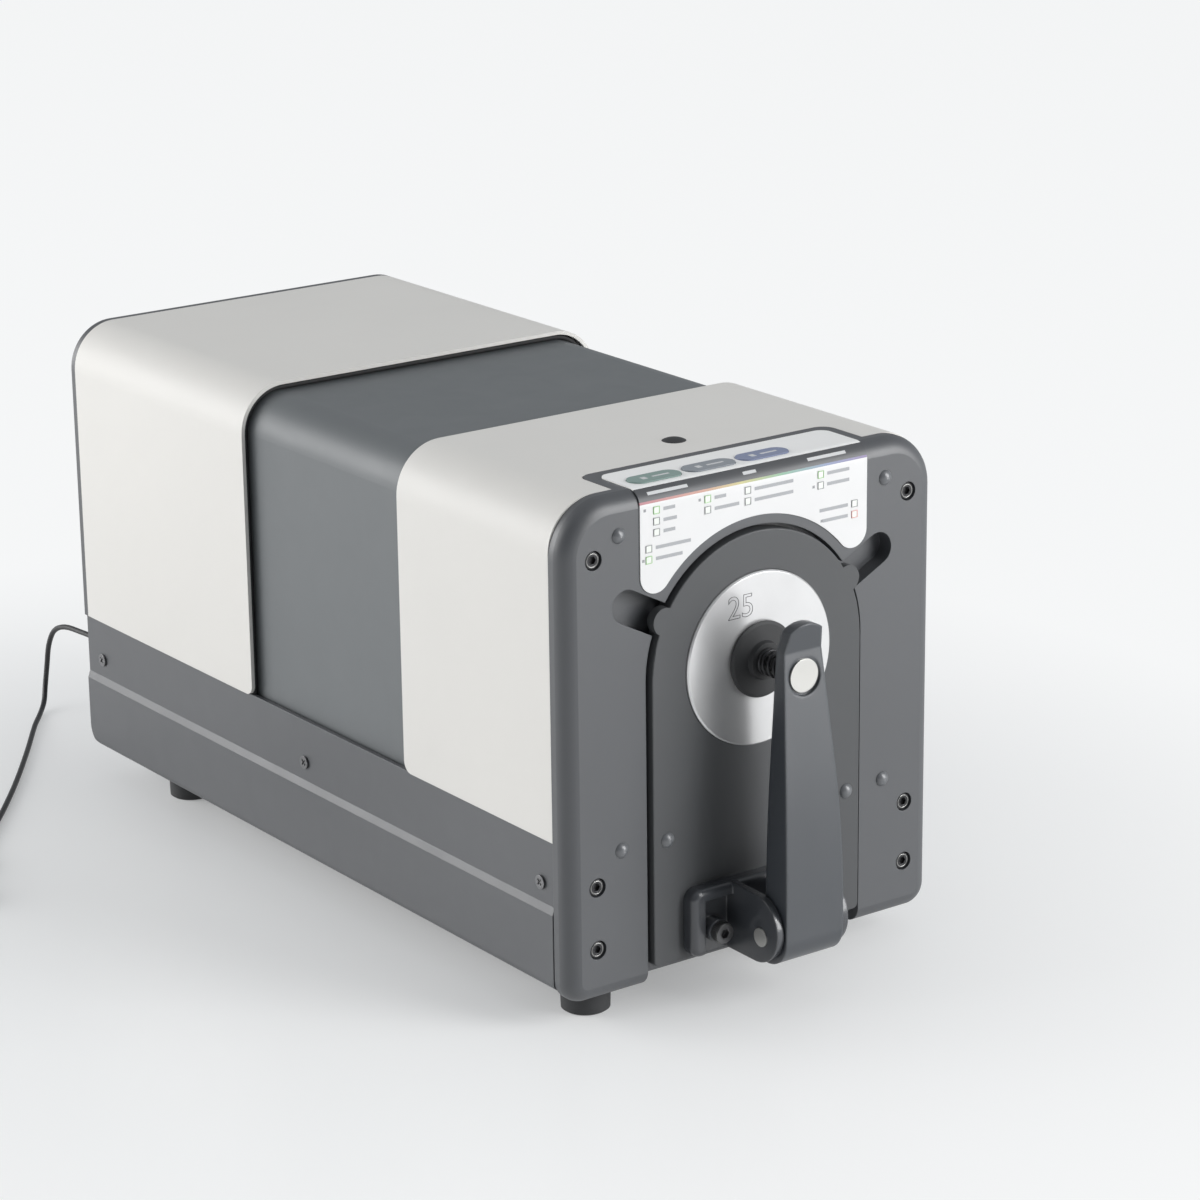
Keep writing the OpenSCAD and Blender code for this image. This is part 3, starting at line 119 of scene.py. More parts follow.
start, end = wound(0), wound(LOOPS)
run_in = (start[0] - RUN_IN * math.cos(coil_way), start[1] - RUN_IN * math.sin(coil_way), start[2])
tail = (end[0] + TAIL * math.cos(coil_way), end[1] + TAIL * math.sin(coil_way), end[2])
coil = [wound(i / LOOP_KNOTS) for i in range(LOOPS * LOOP_KNOTS + 1)]
knots = [Vector(p) * MM for p in free_knots + [run_in] + coil + [tail]]

# %% The lead as a curve
line = bpy.data.curves.new("power_lead", "CURVE")
line.dimensions = "3D"
line.bevel_depth = 1.0
line.bevel_resolution = 3
line.resolution_u = 4
line.use_fill_caps = True
spline = line.splines.new("BEZIER")
spline.bezier_points.add(len(knots) - 1)
for i, point in enumerate(spline.bezier_points):
    before, after = knots[max(i - 1, 0)], knots[min(i + 1, len(knots) - 1)]
    heading = (after - before).normalized()
    point.co = knots[i]
    point.radius = LEAD_R * MM
    point.handle_left = knots[i] - heading * (knots[i] - before).length / 3
    point.handle_right = knots[i] + heading * (after - knots[i]).length / 3
lead = bpy.data.objects.new("power_lead", line)
scene.collection.objects.link(lead)
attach(lead, "chassis")
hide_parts("cord_tube", "cord_coil")

# %% [markdown]
# ## Floor and light
# A pale, glossy table fills the picture. It is lit like anything else, so it keeps the shadow and a faint mirror image,
# and plain white is mixed in for the rays that the camera, a gloss or a glass sends. That share grows with the distance
# from the instrument, so that the far table reads as a white studio. The main lamp stands on the left. Two low white
# cards, behind on the left and in front on the right, lie where the dark sides and the front mirror them. The
# surroundings glow evenly, except that they are darker towards the camera, so that the dark front keeps its depth.

# %% Maths on sockets
class Sock:
    """A socket of a node tree. Python's operators on it add Math nodes to the tree."""

    def __init__(self, tree, out=None):
        self.tree, self.out = tree, out

    def make(self, kind, settings, sockets, out=0):
        """Adds a node: its settings first, then the values or links of its sockets. Gives the named output."""
        node = self.tree.nodes.new(kind)
        for name, value in settings.items():
            if name == "stops":
                for stop, (place, colour) in zip(range(len(value)), value):
                    point = node.color_ramp.elements[stop] if stop < 2 else node.color_ramp.elements.new(place)
                    point.position, point.color = place, colour
            else:
                setattr(node, name, value)
        for name, value in sockets.items():
            socket = next(s for s in node.inputs if s.enabled and name in (s.identifier, s.name))
            if isinstance(value, Sock):
                self.tree.links.new(value.out, socket)
            else:
                socket.default_value = value
        found = node.outputs[out] if isinstance(out, int) else next(
            s for s in node.outputs if s.enabled and out in (s.identifier, s.name))
        return Sock(self.tree, found)

    def math(self, operation, *values):
        return self.make("ShaderNodeMath", {"operation": operation}, dict(zip(("Value", "Value_001"), values)))

    def __add__(self, other): return self.math("ADD", self, other)
    def __radd__(self, other): return self.math("ADD", other, self)
    def __rsub__(self, other): return self.math("SUBTRACT", other, self)
    def __mul__(self, other): return self.math("MULTIPLY", self, other)
    def __gt__(self, other): return self.math("GREATER_THAN", self, other)
    def __lt__(self, other): return self.math("LESS_THAN", self, other)

    def mix(self, a, b):
        """Colour a where this socket is 0 and colour b where it is 1."""
        return self.make("ShaderNodeMix", {"data_type": "RGBA"}, {"Factor_Float": self, "A_Color": a, "B_Color": b},
                         "Result_Color")


def grey(v, tint=(1.0, 1.0, 1.0)):
    return (v * tint[0], v * tint[1], v * tint[2], 1.0)


def blank(name):
    """A new material: itself, its shader, and the object coordinates in its tree."""
    material = bpy.data.materials.new(name)
    material.use_nodes = True
    tree = material.node_tree
    return material, tree.nodes["Principled BSDF"], Sock(tree).make("ShaderNodeTexCoord", {}, {}, "Object")


def feed(shader, values):
    """Sets or links the shader's own sockets."""
    for name, value in values.items():
        if isinstance(value, Sock):
            value.tree.links.new(value.out, shader.inputs[name])
        else:
            shader.inputs[name].default_value = value


print("socket maths ready")

# %% Table
table_white, table_shader, place = blank("table_white")
cloud = place.make("ShaderNodeTexNoise", {}, {"Vector": place, "Scale": 2.5, "Detail": 3.0})
feed(table_shader, {"Base Color": cloud.mix(grey(0.91), grey(0.94, (1.0, 1.01, 1.01))),
                    "Roughness": 0.3 + cloud * 0.08})
PART_MIDDLE = (-0.1, 0.05, 0)
away = place.make("ShaderNodeVectorMath", {"operation": "DISTANCE"}, {"Vector": place, "Vector_001": PART_MIDDLE},
                  "Value")
far = place.make("ShaderNodeMapRange", {}, {"Value": away, "From Min": 0.22, "From Max": 0.62, "To Min": 0.28,
                                            "To Max": 0.93})
path = place.make("ShaderNodeLightPath", {}, {}, "Is Camera Ray")
glossy = Sock(path.tree, path.out.node.outputs["Is Glossy Ray"])
through = Sock(path.tree, path.out.node.outputs["Is Transmission Ray"])
seen = path.math("MAXIMUM", path, path.math("MAXIMUM", glossy, through))
white = place.make("ShaderNodeEmission", {}, {"Color": grey(0.95, (0.985, 0.995, 1.0)), "Strength": 1.0})
shown = place.make("ShaderNodeMixShader", {}, {"Fac": seen * far, "Shader": Sock(place.tree, table_shader.outputs[0]),
                                               "Shader_001": white})
place.tree.links.new(shown.out, place.tree.nodes["Material Output"].inputs["Surface"])

floor_mesh = bpy.data.meshes.new("table_top")
floor_mesh.from_pydata([(-14, -8, 0), (14, -8, 0), (14, 20, 0), (-14, 20, 0)], [], [(0, 1, 2, 3)])
floor_mesh.materials.append(table_white)
table_top = bpy.data.objects.new("table_top", floor_mesh)
scene.collection.objects.link(table_top)
print("table", table_top.dimensions)

# %% Lamps and surroundings
world = bpy.data.worlds.new("studio")
scene.world = world
world.use_nodes = True
world.node_tree.nodes["Background"].inputs["Color"].default_value = (0.93, 0.965, 1.0, 1.0)
CAMERA_SIDE = (-0.56, -0.82, 0.1)
sky = Sock(world.node_tree).make("ShaderNodeTexCoord", {}, {}, "Generated")
ahead = sky.make("ShaderNodeVectorMath", {"operation": "DOT_PRODUCT"}, {"Vector": sky, "Vector_001": CAMERA_SIDE},
                 "Value")
glow = sky.make("ShaderNodeMapRange", {}, {"Value": ahead, "From Min": 0.2, "From Max": 0.9, "To Min": 0.45,
                                           "To Max": 0.16})
feed(world.node_tree.nodes["Background"], {"Strength": glow})


def soft_lamp(name, at, aim, size, watts, colour=(1.0, 1.0, 1.0)):
    lamp = bpy.data.lights.new(name, "AREA")
    lamp.shape, lamp.size, lamp.energy, lamp.color = "SQUARE", size, watts, colour
    holder = bpy.data.objects.new(name, lamp)
    holder.location = at
    holder.rotation_euler = (Vector(aim) - Vector(at)).to_track_quat("-Z", "Y").to_euler()
    holder.visible_camera = False
    scene.collection.objects.link(holder)


soft_lamp("left_lamp", (-2.3, 1.3, 1.2), (0, 0.05, 0.15), 2.0, 29, (1.0, 0.99, 0.975))
soft_lamp("front_lamp", (1.2, -2.4, 1.7), (0, -0.2, 0.15), 1.2, 30)
soft_lamp("rear_left_card", (-1.9, 2.2, 0.7), (0, 0, 0.15), 1.8, 43)
soft_lamp("front_right_card", (1.7, -2.3, 0.6), (0, -0.2, 0.12), 1.6, 50)

# %% [markdown]
# ## Finishes
# Most pieces are moulded, painted or plated, and differ in colour, gloss, grain and wear. One function makes them: fine
# noise gives the grain and its bump, broad noise the uneven tone and the smudges in the gloss, and a bevel node rounds
# the edges for the light and paints them paler, partly as wear and partly as a painted highlight where they catch the
# light. Each finish is then a line of values.

# %% One recipe for moulded, painted and plated surfaces
SMEAR = 0.12


def finish(name, colour, rough, metal=0.0, grain=1600.0, depth=0.00003, mottle=0.1, wear_and_glint=0.0, edge=0.0005, spec=0.5):
    material, shader, place = blank(name)
    fine = place.make("ShaderNodeTexNoise", {}, {"Vector": place, "Scale": grain, "Detail": 2.0})
    broad = place.make("ShaderNodeTexNoise", {}, {"Vector": place, "Scale": 11.0, "Detail": 5.0, "Roughness": 0.6})
    smudge = place.make("ShaderNodeTexNoise", {}, {"Vector": place, "Scale": 45.0, "Detail": 4.0, "Distortion": 0.6})
    rounded = place.make("ShaderNodeBevel", {"samples": 4}, {"Radius": edge})
    flat = place.make("ShaderNodeNewGeometry", {}, {}, "Normal")
    facing = place.make("ShaderNodeVectorMath", {"operation": "DOT_PRODUCT"}, {"Vector": rounded, "Vector_001": flat},
                        "Value")
    # edges are painted paler: partly wear, partly a painted highlight where they catch the light
    rubbed_and_glint = (1 - facing) * wear_and_glint * (broad + 0.3)
    tone = broad * 0.7 + fine * 0.3
    plain = tone.mix([c * (1 - mottle) for c in colour] + [1.0], [c * (1 + mottle) for c in colour] + [1.0])
    paler_wear_and_glint = [min(1.0, c * 1.6 + 0.05) for c in colour] + [1.0]
    bump = place.make("ShaderNodeBump", {}, {"Strength": 0.5, "Distance": depth, "Height": fine, "Normal": rounded})
    feed(shader, {"Base Color": rubbed_and_glint.mix(plain, paler_wear_and_glint), "Roughness": rough - SMEAR / 2 + smudge * SMEAR,
                  "Metallic": metal, "Specular IOR Level": spec, "Normal": bump})
    return material


recipes = {
    "dark_plastic": dict(colour=(0.067, 0.071, 0.078), rough=0.45, wear_and_glint=0.7, grain=2200, depth=0.00005, spec=0.9),
    "light_cover": dict(colour=(0.735, 0.721, 0.692), rough=0.5, grain=5200, depth=0.00001, mottle=0.04, spec=0.4),
    "dark_cover": dict(colour=(0.125, 0.136, 0.143), rough=0.5, grain=4200, depth=0.000015,
                       mottle=0.06, wear_and_glint=0.3, spec=0.7),
    "key_green": dict(colour=(0.22, 0.315, 0.29), rough=0.4, grain=2500, depth=0.00002),
    "key_grey": dict(colour=(0.25, 0.275, 0.305), rough=0.4, grain=2500, depth=0.00002),
    "key_blue": dict(colour=(0.21, 0.245, 0.375), rough=0.4, grain=2500, depth=0.00002),
    "indicator": dict(colour=(0.82, 0.85, 0.8), rough=0.32, grain=900, depth=0.00001, mottle=0.04),
    "black_casting": dict(colour=(0.056, 0.06, 0.068), rough=0.2, grain=1300, depth=0.00005,
                          wear_and_glint=1.6, edge=0.0014, spec=0.8),
    "arm_casting": dict(colour=(0.041, 0.047, 0.056), rough=0.33, grain=2600, depth=0.00003,
                        wear_and_glint=3.2, edge=0.0018, spec=0.9),
    "black_steel": dict(colour=(0.05, 0.05, 0.053), rough=0.34, metal=0.7, grain=1800, depth=0.00003, wear_and_glint=1.2),
    "bright_steel": dict(colour=(0.66, 0.655, 0.63), rough=0.32, metal=1.0, grain=2600, depth=0.00002),
    "rubber": dict(colour=(0.034, 0.035, 0.037), rough=0.62, grain=1900, depth=0.00006, mottle=0.18),
    "black_plastic": dict(colour=(0.03, 0.031, 0.033), rough=0.42, grain=2000, depth=0.00004),
    "chassis_aluminium": dict(colour=(0.62, 0.63, 0.64), rough=0.4, metal=1.0, grain=1500, depth=0.00002),
    "chamber_black": dict(colour=(0.022, 0.022, 0.023), rough=0.7, grain=2400, depth=0.00008, mottle=0.2),
    "sphere_white": dict(colour=(0.88, 0.87, 0.84), rough=0.75, grain=1200, depth=0.00003, mottle=0.03),
    "circuit_board": dict(colour=(0.03, 0.17, 0.075), rough=0.36, grain=500, depth=0.00004, mottle=0.25),
    "brass_posts": dict(colour=(0.65, 0.47, 0.2), rough=0.32, metal=1.0, grain=1500, depth=0.00002),
    "panel_plastic": dict(colour=(0.074, 0.077, 0.081), rough=0.5, wear_and_glint=0.6, grain=2000, depth=0.00006, spec=0.5),
    "bumper_rubber": dict(colour=(0.125, 0.131, 0.14), rough=0.32, grain=1500, depth=0.00002, mottle=0.15, spec=0.9),
    "worn_steel": dict(colour=(0.36, 0.36, 0.35), rough=0.32, metal=1.0, grain=2000, depth=0.00003, mottle=0.25),
    "screw_steel": dict(colour=(0.2, 0.2, 0.205), rough=0.34, metal=1.0, grain=1800, depth=0.00003, wear_and_glint=1.0),
    "cord_black": dict(colour=(0.026, 0.026, 0.028), rough=0.48, grain=2600, depth=0.00004, mottle=0.2),
}
finishes = {name: finish(name, **values) for name, values in recipes.items()}
print("finishes", len(finishes))

# %% [markdown]
# ### Turned aluminium and glass
# The aperture plate is turned from aluminium, and its face is brushed from side to side. Such fine lines still mirror
# the pad and the arm, but draw the image out up and down. Noise that is stretched along X gives the lines, and the
# shader's anisotropy the drawn-out mirror image. The lens and the lamp are clear glass with a little dust.

# %% Turned aluminium and glass
turned, shader, place = blank("turned_aluminium")
BRUSH_SCALE = (90, 90, 4200)
stretched = place.make("ShaderNodeVectorMath", {"operation": "MULTIPLY"}, {"Vector": place, "Vector_001": BRUSH_SCALE})
brushed = place.make("ShaderNodeTexNoise", {}, {"Vector": stretched, "Scale": 1.0, "Detail": 2.0})
stain = place.make("ShaderNodeTexNoise", {}, {"Vector": place, "Scale": 60.0, "Detail": 4.0})
edge_round = place.make("ShaderNodeBevel", {"samples": 4}, {"Radius": 0.0004})
groove = place.make("ShaderNodeBump", {}, {"Strength": 0.03, "Distance": 0.00002, "Height": brushed,
                                           "Normal": edge_round})
feed(shader, {"Base Color": stain.mix(grey(0.7), grey(0.77, (1.0, 1.0, 1.01))),
              "Roughness": 0.19 + brushed * 0.03 + stain * 0.03, "Metallic": 0.55, "Anisotropic": 0.4,
              "Anisotropic Rotation": 0.25, "Normal": groove})
finishes["turned_aluminium"] = turned

glass, shader, place = blank("optical_glass")
dust = place.make("ShaderNodeTexNoise", {}, {"Vector": place, "Scale": 160.0, "Detail": 4.0})
feed(shader, {"Base Color": dust.mix(grey(0.9, (0.94, 0.99, 1.0)), grey(0.96)), "Roughness": 0.02 + dust * 0.06,
              "IOR": 1.5, "Transmission Weight": 1.0})
finishes["optical_glass"] = glass
print("finishes", len(finishes))

# %% [markdown]
# ### Printed film
# The control film is white, with a dark stripe where it bends over the top edge and a thin line below it that runs
# through the colours of the spectrum. Its paper is painted darker on the front face and lighter on the top, as painted
# shade and painted light for how the lamps fall there. The print follows plain borders in Y and Z, so comparisons on
# the object coordinates draw it without any picture.

# %% Printed film
film, shader, place = blank("overlay_film")
x = place.make("ShaderNodeSeparateXYZ", {}, {"Vector": place}, "X")
y, z = (Sock(x.tree, x.out.node.outputs[n]) for n in "YZ")
grain = place.make("ShaderNodeTexNoise", {}, {"Vector": place, "Scale": 1800.0, "Detail": 2.0})
handling = place.make("ShaderNodeTexNoise", {}, {"Vector": place, "Scale": 30.0, "Detail": 4.0})
STRIPE_LOW, STRIPE_BACK, LINE_LOW = 0.2636, -0.2130, 0.2624
on_stripe = (z > STRIPE_LOW) * (y < STRIPE_BACK)
on_line = (z > LINE_LOW) * (z < STRIPE_LOW) * (y < STRIPE_BACK)
# a new ramp has two stops already, so the first two lines are its ends
rainbow = [(0.0, (0.42, 0.16, 0.19, 1)), (1.0, (0.22, 0.17, 0.32, 1)),
           (0.27, (0.5, 0.26, 0.2, 1)), (0.44, (0.5, 0.46, 0.2, 1)),
           (0.62, (0.18, 0.36, 0.24, 1)), (0.82, (0.2, 0.25, 0.4, 1))]
spectrum = place.make("ShaderNodeValToRGB", {"stops": rainbow}, {"Fac": x * 7.2 + 0.5}, "Color")
# one white paper: painted darker on the front as painted shade, lighter on the top as painted light
front_paper_painted_shade = handling.mix(grey(0.73), grey(0.78))
top_paper_painted_light = handling.mix(grey(0.88), grey(0.93, (1.0, 1.0, 0.98)))
paper_with_painted_light = (y > STRIPE_BACK).mix(front_paper_painted_shade, top_paper_painted_light)
lined = on_line.mix(paper_with_painted_light, spectrum)
printed = on_stripe.mix(lined, (0.085, 0.088, 0.094, 1))
film_bump = place.make("ShaderNodeBump", {}, {"Strength": 0.3, "Distance": 0.00002, "Height": grain})
feed(shader, {"Base Color": printed, "Roughness": 0.34 + handling * 0.14, "Normal": film_bump})
finishes["overlay_film"] = film

own_finish = {"front_panel": "panel_plastic", "bezel_bumpers": "bumper_rubber", "panel_bumpers": "bumper_rubber",
              "hinge_screws": "screw_steel", "side_screws": "screw_steel"}
for part in frame["record"]["subparts"]:
    node = frame["nodes"][part["node"]]
    node.data.materials.clear()
    node.data.materials.append(finishes[own_finish.get(part["node"], part["material_slot"])])
lead.data.materials.append(finishes["cord_black"])

# %% [markdown]
# ## Wire on a path
# The arm's two springs are bent wire: one holds the pad out, the other closes the arm. Each follows a path that is easy
# to write down, so one small node tree turns any line of points into round wire. The result is turned into a plain
# mesh, because a part is handed on without its modifiers.

# %% A tree that turns a line into wire
def tree_of(name, inputs):
    """A geometry node tree with the given inputs and a finish, and the sockets that carry them inside."""
    tree = bpy.data.node_groups.new(name, "GeometryNodeTree")
    tree.interface.new_socket("Geometry", in_out="OUTPUT", socket_type="NodeSocketGeometry")
    tree.interface.new_socket("Geometry", in_out="INPUT", socket_type="NodeSocketGeometry")
    for label, kind, value in inputs + [("Finish", "NodeSocketMaterial", None)]:
        tree.interface.new_socket(label, in_out="INPUT", socket_type=kind).default_value = value
    entry = tree.nodes.new("NodeGroupInput")
    return tree, {s.name: Sock(tree, s) for s in entry.outputs if s.name}


def close_tree(tree, geometry, finish):
    """Ends a tree in Realize Instances and Set Material."""
    real = geometry.make("GeometryNodeRealizeInstances", {}, {"Geometry": geometry})
    dressed = geometry.make("GeometryNodeSetMaterial", {}, {"Geometry": real, "Material": finish})
    leave = tree.nodes.new("NodeGroupOutput")
    tree.links.new(dressed.out, leave.inputs["Geometry"])


def grown(name, mesh, tree, values, body, slot, finish=None, smooth=True):
    """Runs a tree on a mesh and keeps the result as a plain piece that rides on a body."""
    values = {**values, "Finish": finishes[finish or slot]}
    seed = bpy.data.objects.new(name + "_seed", mesh)
    scene.collection.objects.link(seed)
    modifier = seed.modifiers.new("grow", "NODES")
    modifier.node_group = tree
    for item in tree.interface.items_tree:
        if item.in_out == "INPUT" and item.name in values:
            modifier[item.identifier] = values[item.name]
    bpy.context.view_layer.update()
    made = bpy.data.meshes.new_from_object(seed.evaluated_get(bpy.context.evaluated_depsgraph_get()))
    bpy.data.objects.remove(seed)
    piece = bpy.data.objects.new(name, made)
    scene.collection.objects.link(piece)
    if smooth:
        made.shade_smooth()
    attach(piece, body)
    print(name, len(made.polygons), "faces on", body)
    return piece


def line_mesh(name, points):
    mesh = bpy.data.meshes.new(name)
    mesh.from_pydata(points, [(i, i + 1) for i in range(len(points) - 1)], [])
    return mesh


wire_tree, given = tree_of("wire", [("Wire Radius", "NodeSocketFloat", 0.0009), ("Sides", "NodeSocketInt", 10)])
spine = given["Geometry"].make("GeometryNodeMeshToCurve", {}, {"Mesh": given["Geometry"]})
section = spine.make("GeometryNodeCurvePrimitiveCircle", {}, {"Radius": given["Wire Radius"],
                                                              "Resolution": given["Sides"]})
wire = spine.make("GeometryNodeCurveToMesh", {}, {"Curve": spine, "Profile Curve": section, "Fill Caps": True})
close_tree(wire_tree, wire, given["Finish"])
print("wire tree", len(wire_tree.nodes), "nodes")

# %% Springs of the arm
def winding(t, radius):
    """A point on a circle after t turns."""
    return radius * math.cos(2 * math.pi * t), radius * math.sin(2 * math.pi * t)


APERTURE_Z = 0.173
PAD_BACK, SEAT, COIL_R, PAD_WIRE, CURLS = -0.22745, -0.25212, 0.0061, 0.0018, 7
per_turn = 20
pad_line = []
for i in range(CURLS * per_turn + 1):
    along = min(1.0, max(0.0, (i / per_turn - 0.8) / (CURLS - 1.6)))
    across, height = winding(i / per_turn, COIL_R)
    pad_line.append((across, PAD_BACK - PAD_WIRE / 2 - along * (PAD_BACK - SEAT - PAD_WIRE), APERTURE_Z + height))
pad_wire = grown("pad_spring_wire", line_mesh("pad_line", pad_line), wire_tree, {"Wire Radius": PAD_WIRE / 2},
                 "pad", "black_steel")
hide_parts("pad_spring")
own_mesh(pad_wire)

PIN_Y, PIN_Z, TWIST_R, HALF, PITCH, TWISTS = -0.25055, 0.0406, 0.0042, 0.0072, 0.0024, 6
LONG_LEG, SHORT_LEG, TWIST_WIRE = 0.014, 0.005, 0.0018
twist_line = [(-HALF, PIN_Y + TWIST_R, PIN_Z + LONG_LEG), (-HALF, PIN_Y + TWIST_R, PIN_Z + SHORT_LEG)]
for i in range(TWISTS * per_turn + 1):
    across, height = winding(i / per_turn, TWIST_R)
    twist_line.append((-HALF + PITCH * i / per_turn, PIN_Y + across, PIN_Z - height))
twist_line.append((HALF, PIN_Y + TWIST_R, PIN_Z - SHORT_LEG))
twist_wire = grown("hinge_spring_wire", line_mesh("twist_line", twist_line), wire_tree,
                   {"Wire Radius": TWIST_WIRE / 2}, "arm", "bright_steel")
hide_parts("torsion_spring")

# %% [markdown]
# ## Seals of the sliding cover
# The dark cover runs under both light ones with a gap of a few millimetres. Felt in that gap keeps light out of the
# chamber; it is near black and stands there as painted shade, so that the gap reads dark. Its path is the cover's own
# outline: up one side, over two round shoulders and down the other.

# %% Felt seals, near-black strips as painted shade in the gap
SEAL_HALF, SEAL_TOP, SEAL_TURN, SEAL_LOW, FELT_R = 0.11125, 0.26525, 0.02225, 0.094, 0.0016


def hood_path(depth):
    """The hood's outline at one depth, as a line of points."""
    arc = [math.radians(90 * i / 12) for i in range(13)]
    left = [(-SEAL_HALF, depth, SEAL_LOW)]
    left += [(-SEAL_HALF + SEAL_TURN * (1 - math.cos(a)), depth, SEAL_TOP - SEAL_TURN * (1 - math.sin(a))) for a in arc]
    return left + [(-px, depth, pz) for px, _, pz in reversed(left)]


for name, depth in (("front_felt", -0.0785), ("rear_felt", 0.0765)):
    grown(name, line_mesh(name, hood_path(depth)), wire_tree, {"Wire Radius": FELT_R}, "chassis", "chamber_black")

# %% [markdown]
# ## Rims, knurls and pins
# Small round things repeat: the bright steel rim of each bezel screw's head, a painted highlight where the head's edge
# catches the light, the knurled heads at the hinge, whose ridges are worn steel, partly wear and partly painted glint,
# the cross-headed screws of the rear panel, the nine pins of the serial connector. A mesh of loose points says where
# they stand, and a tree sets one copy on each point.

# %% Rims of the bezel screws, a painted highlight
def dots(name, places, **layers):
    """Loose points, with a vector or colour for each where layers name them."""
    mesh = bpy.data.meshes.new(name)
    mesh.from_pydata(places, [], [])
    for layer, values in layers.items():
        colour = len(values[0]) == 4
        held = mesh.attributes.new(layer, "FLOAT_COLOR" if colour else "FLOAT_VECTOR", "POINT")
        held.data.foreach_set("color" if colour else "vector", [v for value in values for v in value])
    return mesh


def stand(points, instance, turn=(0, 0, 0), scale=(1, 1, 1)):
    return points.make("GeometryNodeInstanceOnPoints", {}, {"Points": points, "Instance": instance, "Rotation": turn,
                                                            "Scale": scale})


TO_FRONT = (math.pi / 2, 0, 0)
rim_highlight_tree, given = tree_of("rim_highlights", [("Rim Radius", "NodeSocketFloat", 0.0035),
                                   ("Rim Wire", "NodeSocketFloat", 0.0003)])
hoop = given["Geometry"].make("GeometryNodeCurvePrimitiveCircle", {}, {"Radius": given["Rim Radius"],
                                                                        "Resolution": 32})
section = hoop.make("GeometryNodeCurvePrimitiveCircle", {}, {"Radius": given["Rim Wire"], "Resolution": 8})
ring = hoop.make("GeometryNodeCurveToMesh", {}, {"Curve": hoop, "Profile Curve": section})
close_tree(rim_highlight_tree, stand(given["Geometry"], ring, TO_FRONT), given["Finish"])

SCREW_X, SCREW_ZS, HEAD_Y = 0.0972, (0.240, 0.0745, 0.042), -0.21675
screw_dots = dots("screw_dots", [(sx, HEAD_Y, sz) for sx in (-SCREW_X, SCREW_X) for sz in SCREW_ZS])
# a bright steel ring on each black head stands for the highlight on its edge: painted highlight
grown("screw_rims", screw_dots, rim_highlight_tree, {"Rim Radius": 0.0033, "Rim Wire": 0.00032}, "chassis", "black_steel",
      "worn_steel")

# %% Knurls of the hinge screws
knurl_tree, given = tree_of("knurls", [("Head Radius", "NodeSocketFloat", 0.005), ("Ridges", "NodeSocketInt", 32),
                                       ("Ridge Length", "NodeSocketFloat", 0.004)])
circle = given["Geometry"].make("GeometryNodeCurvePrimitiveCircle", {}, {"Radius": given["Head Radius"],
                                                                         "Resolution": given["Ridges"]})
ridge = circle.make("GeometryNodeMeshCylinder", {}, {"Vertices": 6, "Radius": 0.00032, "Depth": given["Ridge Length"]},
                    "Mesh")
collar = stand(circle, ridge)
close_tree(knurl_tree, stand(given["Geometry"], collar, TO_FRONT), given["Finish"])
HINGE_X, HINGE_Y, HINGE_Z = 0.0325, -0.2328, 0.040
hinge_dots = dots("hinge_dots", [(hx, HINGE_Y, HINGE_Z) for hx in (-HINGE_X, HINGE_X)])
# the ridges are worn steel, lighter than the black head: partly wear, partly a painted glint
grown("hinge_screw_knurls", hinge_dots, knurl_tree, {"Ridge Length": 0.0038}, "panel", "black_steel",
      "worn_steel", smooth=False)

# %% Screws of the rear panel
screw_tree, given = tree_of("pan_heads", [("Head Radius", "NodeSocketFloat", 0.0035),
                                          ("Head Height", "NodeSocketFloat", 0.0015),
                                          ("Slot Width", "NodeSocketFloat", 0.0008)])
head = given["Geometry"].make("GeometryNodeMeshCone", {}, {
    "Vertices": 24, "Radius Top": given["Head Radius"] * 0.72, "Radius Bottom": given["Head Radius"],
    "Depth": given["Head Height"]}, "Mesh")
slot_size = head.make("ShaderNodeCombineXYZ", {}, {"X": given["Slot Width"], "Y": given["Head Radius"] * 1.2,
                                                   "Z": given["Head Height"] * 1.2})
bar = head.make("GeometryNodeMeshCube", {}, {"Size": slot_size}, "Mesh")
SLOT_RISE = 0.0018
arm_one = bar.make("GeometryNodeTransform", {}, {"Geometry": bar, "Translation": (0, 0, SLOT_RISE)})
arm_two = bar.make("GeometryNodeTransform", {}, {"Geometry": arm_one, "Rotation": (0, 0, math.pi / 2)})
cross_head = head
for cutter in (arm_one, arm_two):
    cross_head = head.make("GeometryNodeMeshBoolean", {"operation": "DIFFERENCE", "solver": "EXACT"},
                           {"Mesh 1": cross_head, "Mesh 2": cutter}, "Mesh")
close_tree(screw_tree, stand(given["Geometry"], cross_head, (-math.pi / 2, 0, 0)), given["Finish"])
REAR_X, REAR_Y, REAR_ZS = 0.105, 0.25925, (0.034, 0.125, 0.215)
UPPER_X, UPPER_Z = 0.045, 0.2605
rear_dots = [(sx, REAR_Y, sz) for sx in (-REAR_X, REAR_X) for sz in REAR_ZS]
rear_dots += [(sx, REAR_Y, UPPER_Z) for sx in (-UPPER_X, UPPER_X)]
grown("rear_screws", dots("rear_dots", rear_dots), screw_tree, {}, "chassis", "black_steel", smooth=False)

# %% Pins of the serial connector
pin_tree, given = tree_of("pins", [("Pin Radius", "NodeSocketFloat", 0.0005), ("Pin Length", "NodeSocketFloat", 0.003)])
pin = given["Geometry"].make("GeometryNodeMeshCylinder", {}, {"Vertices": 10, "Radius": given["Pin Radius"],
                                                              "Depth": given["Pin Length"]}, "Mesh")
close_tree(pin_tree, stand(given["Geometry"], pin, TO_FRONT), given["Finish"])
SERIAL, PIN_PITCH, PIN_RISE = Vector((-0.020, 0.2636, 0.060)), 0.00277, 0.0014
pin_places = [SERIAL + Vector(((i - 2) * PIN_PITCH, 0, PIN_RISE)) for i in range(5)]
pin_places += [SERIAL + Vector(((i - 1.5) * PIN_PITCH, 0, -PIN_RISE)) for i in range(4)]
grown("serial_pins", dots("pin_dots", pin_places), pin_tree, {"Pin Length": 0.0026}, "chassis", "brass_posts")
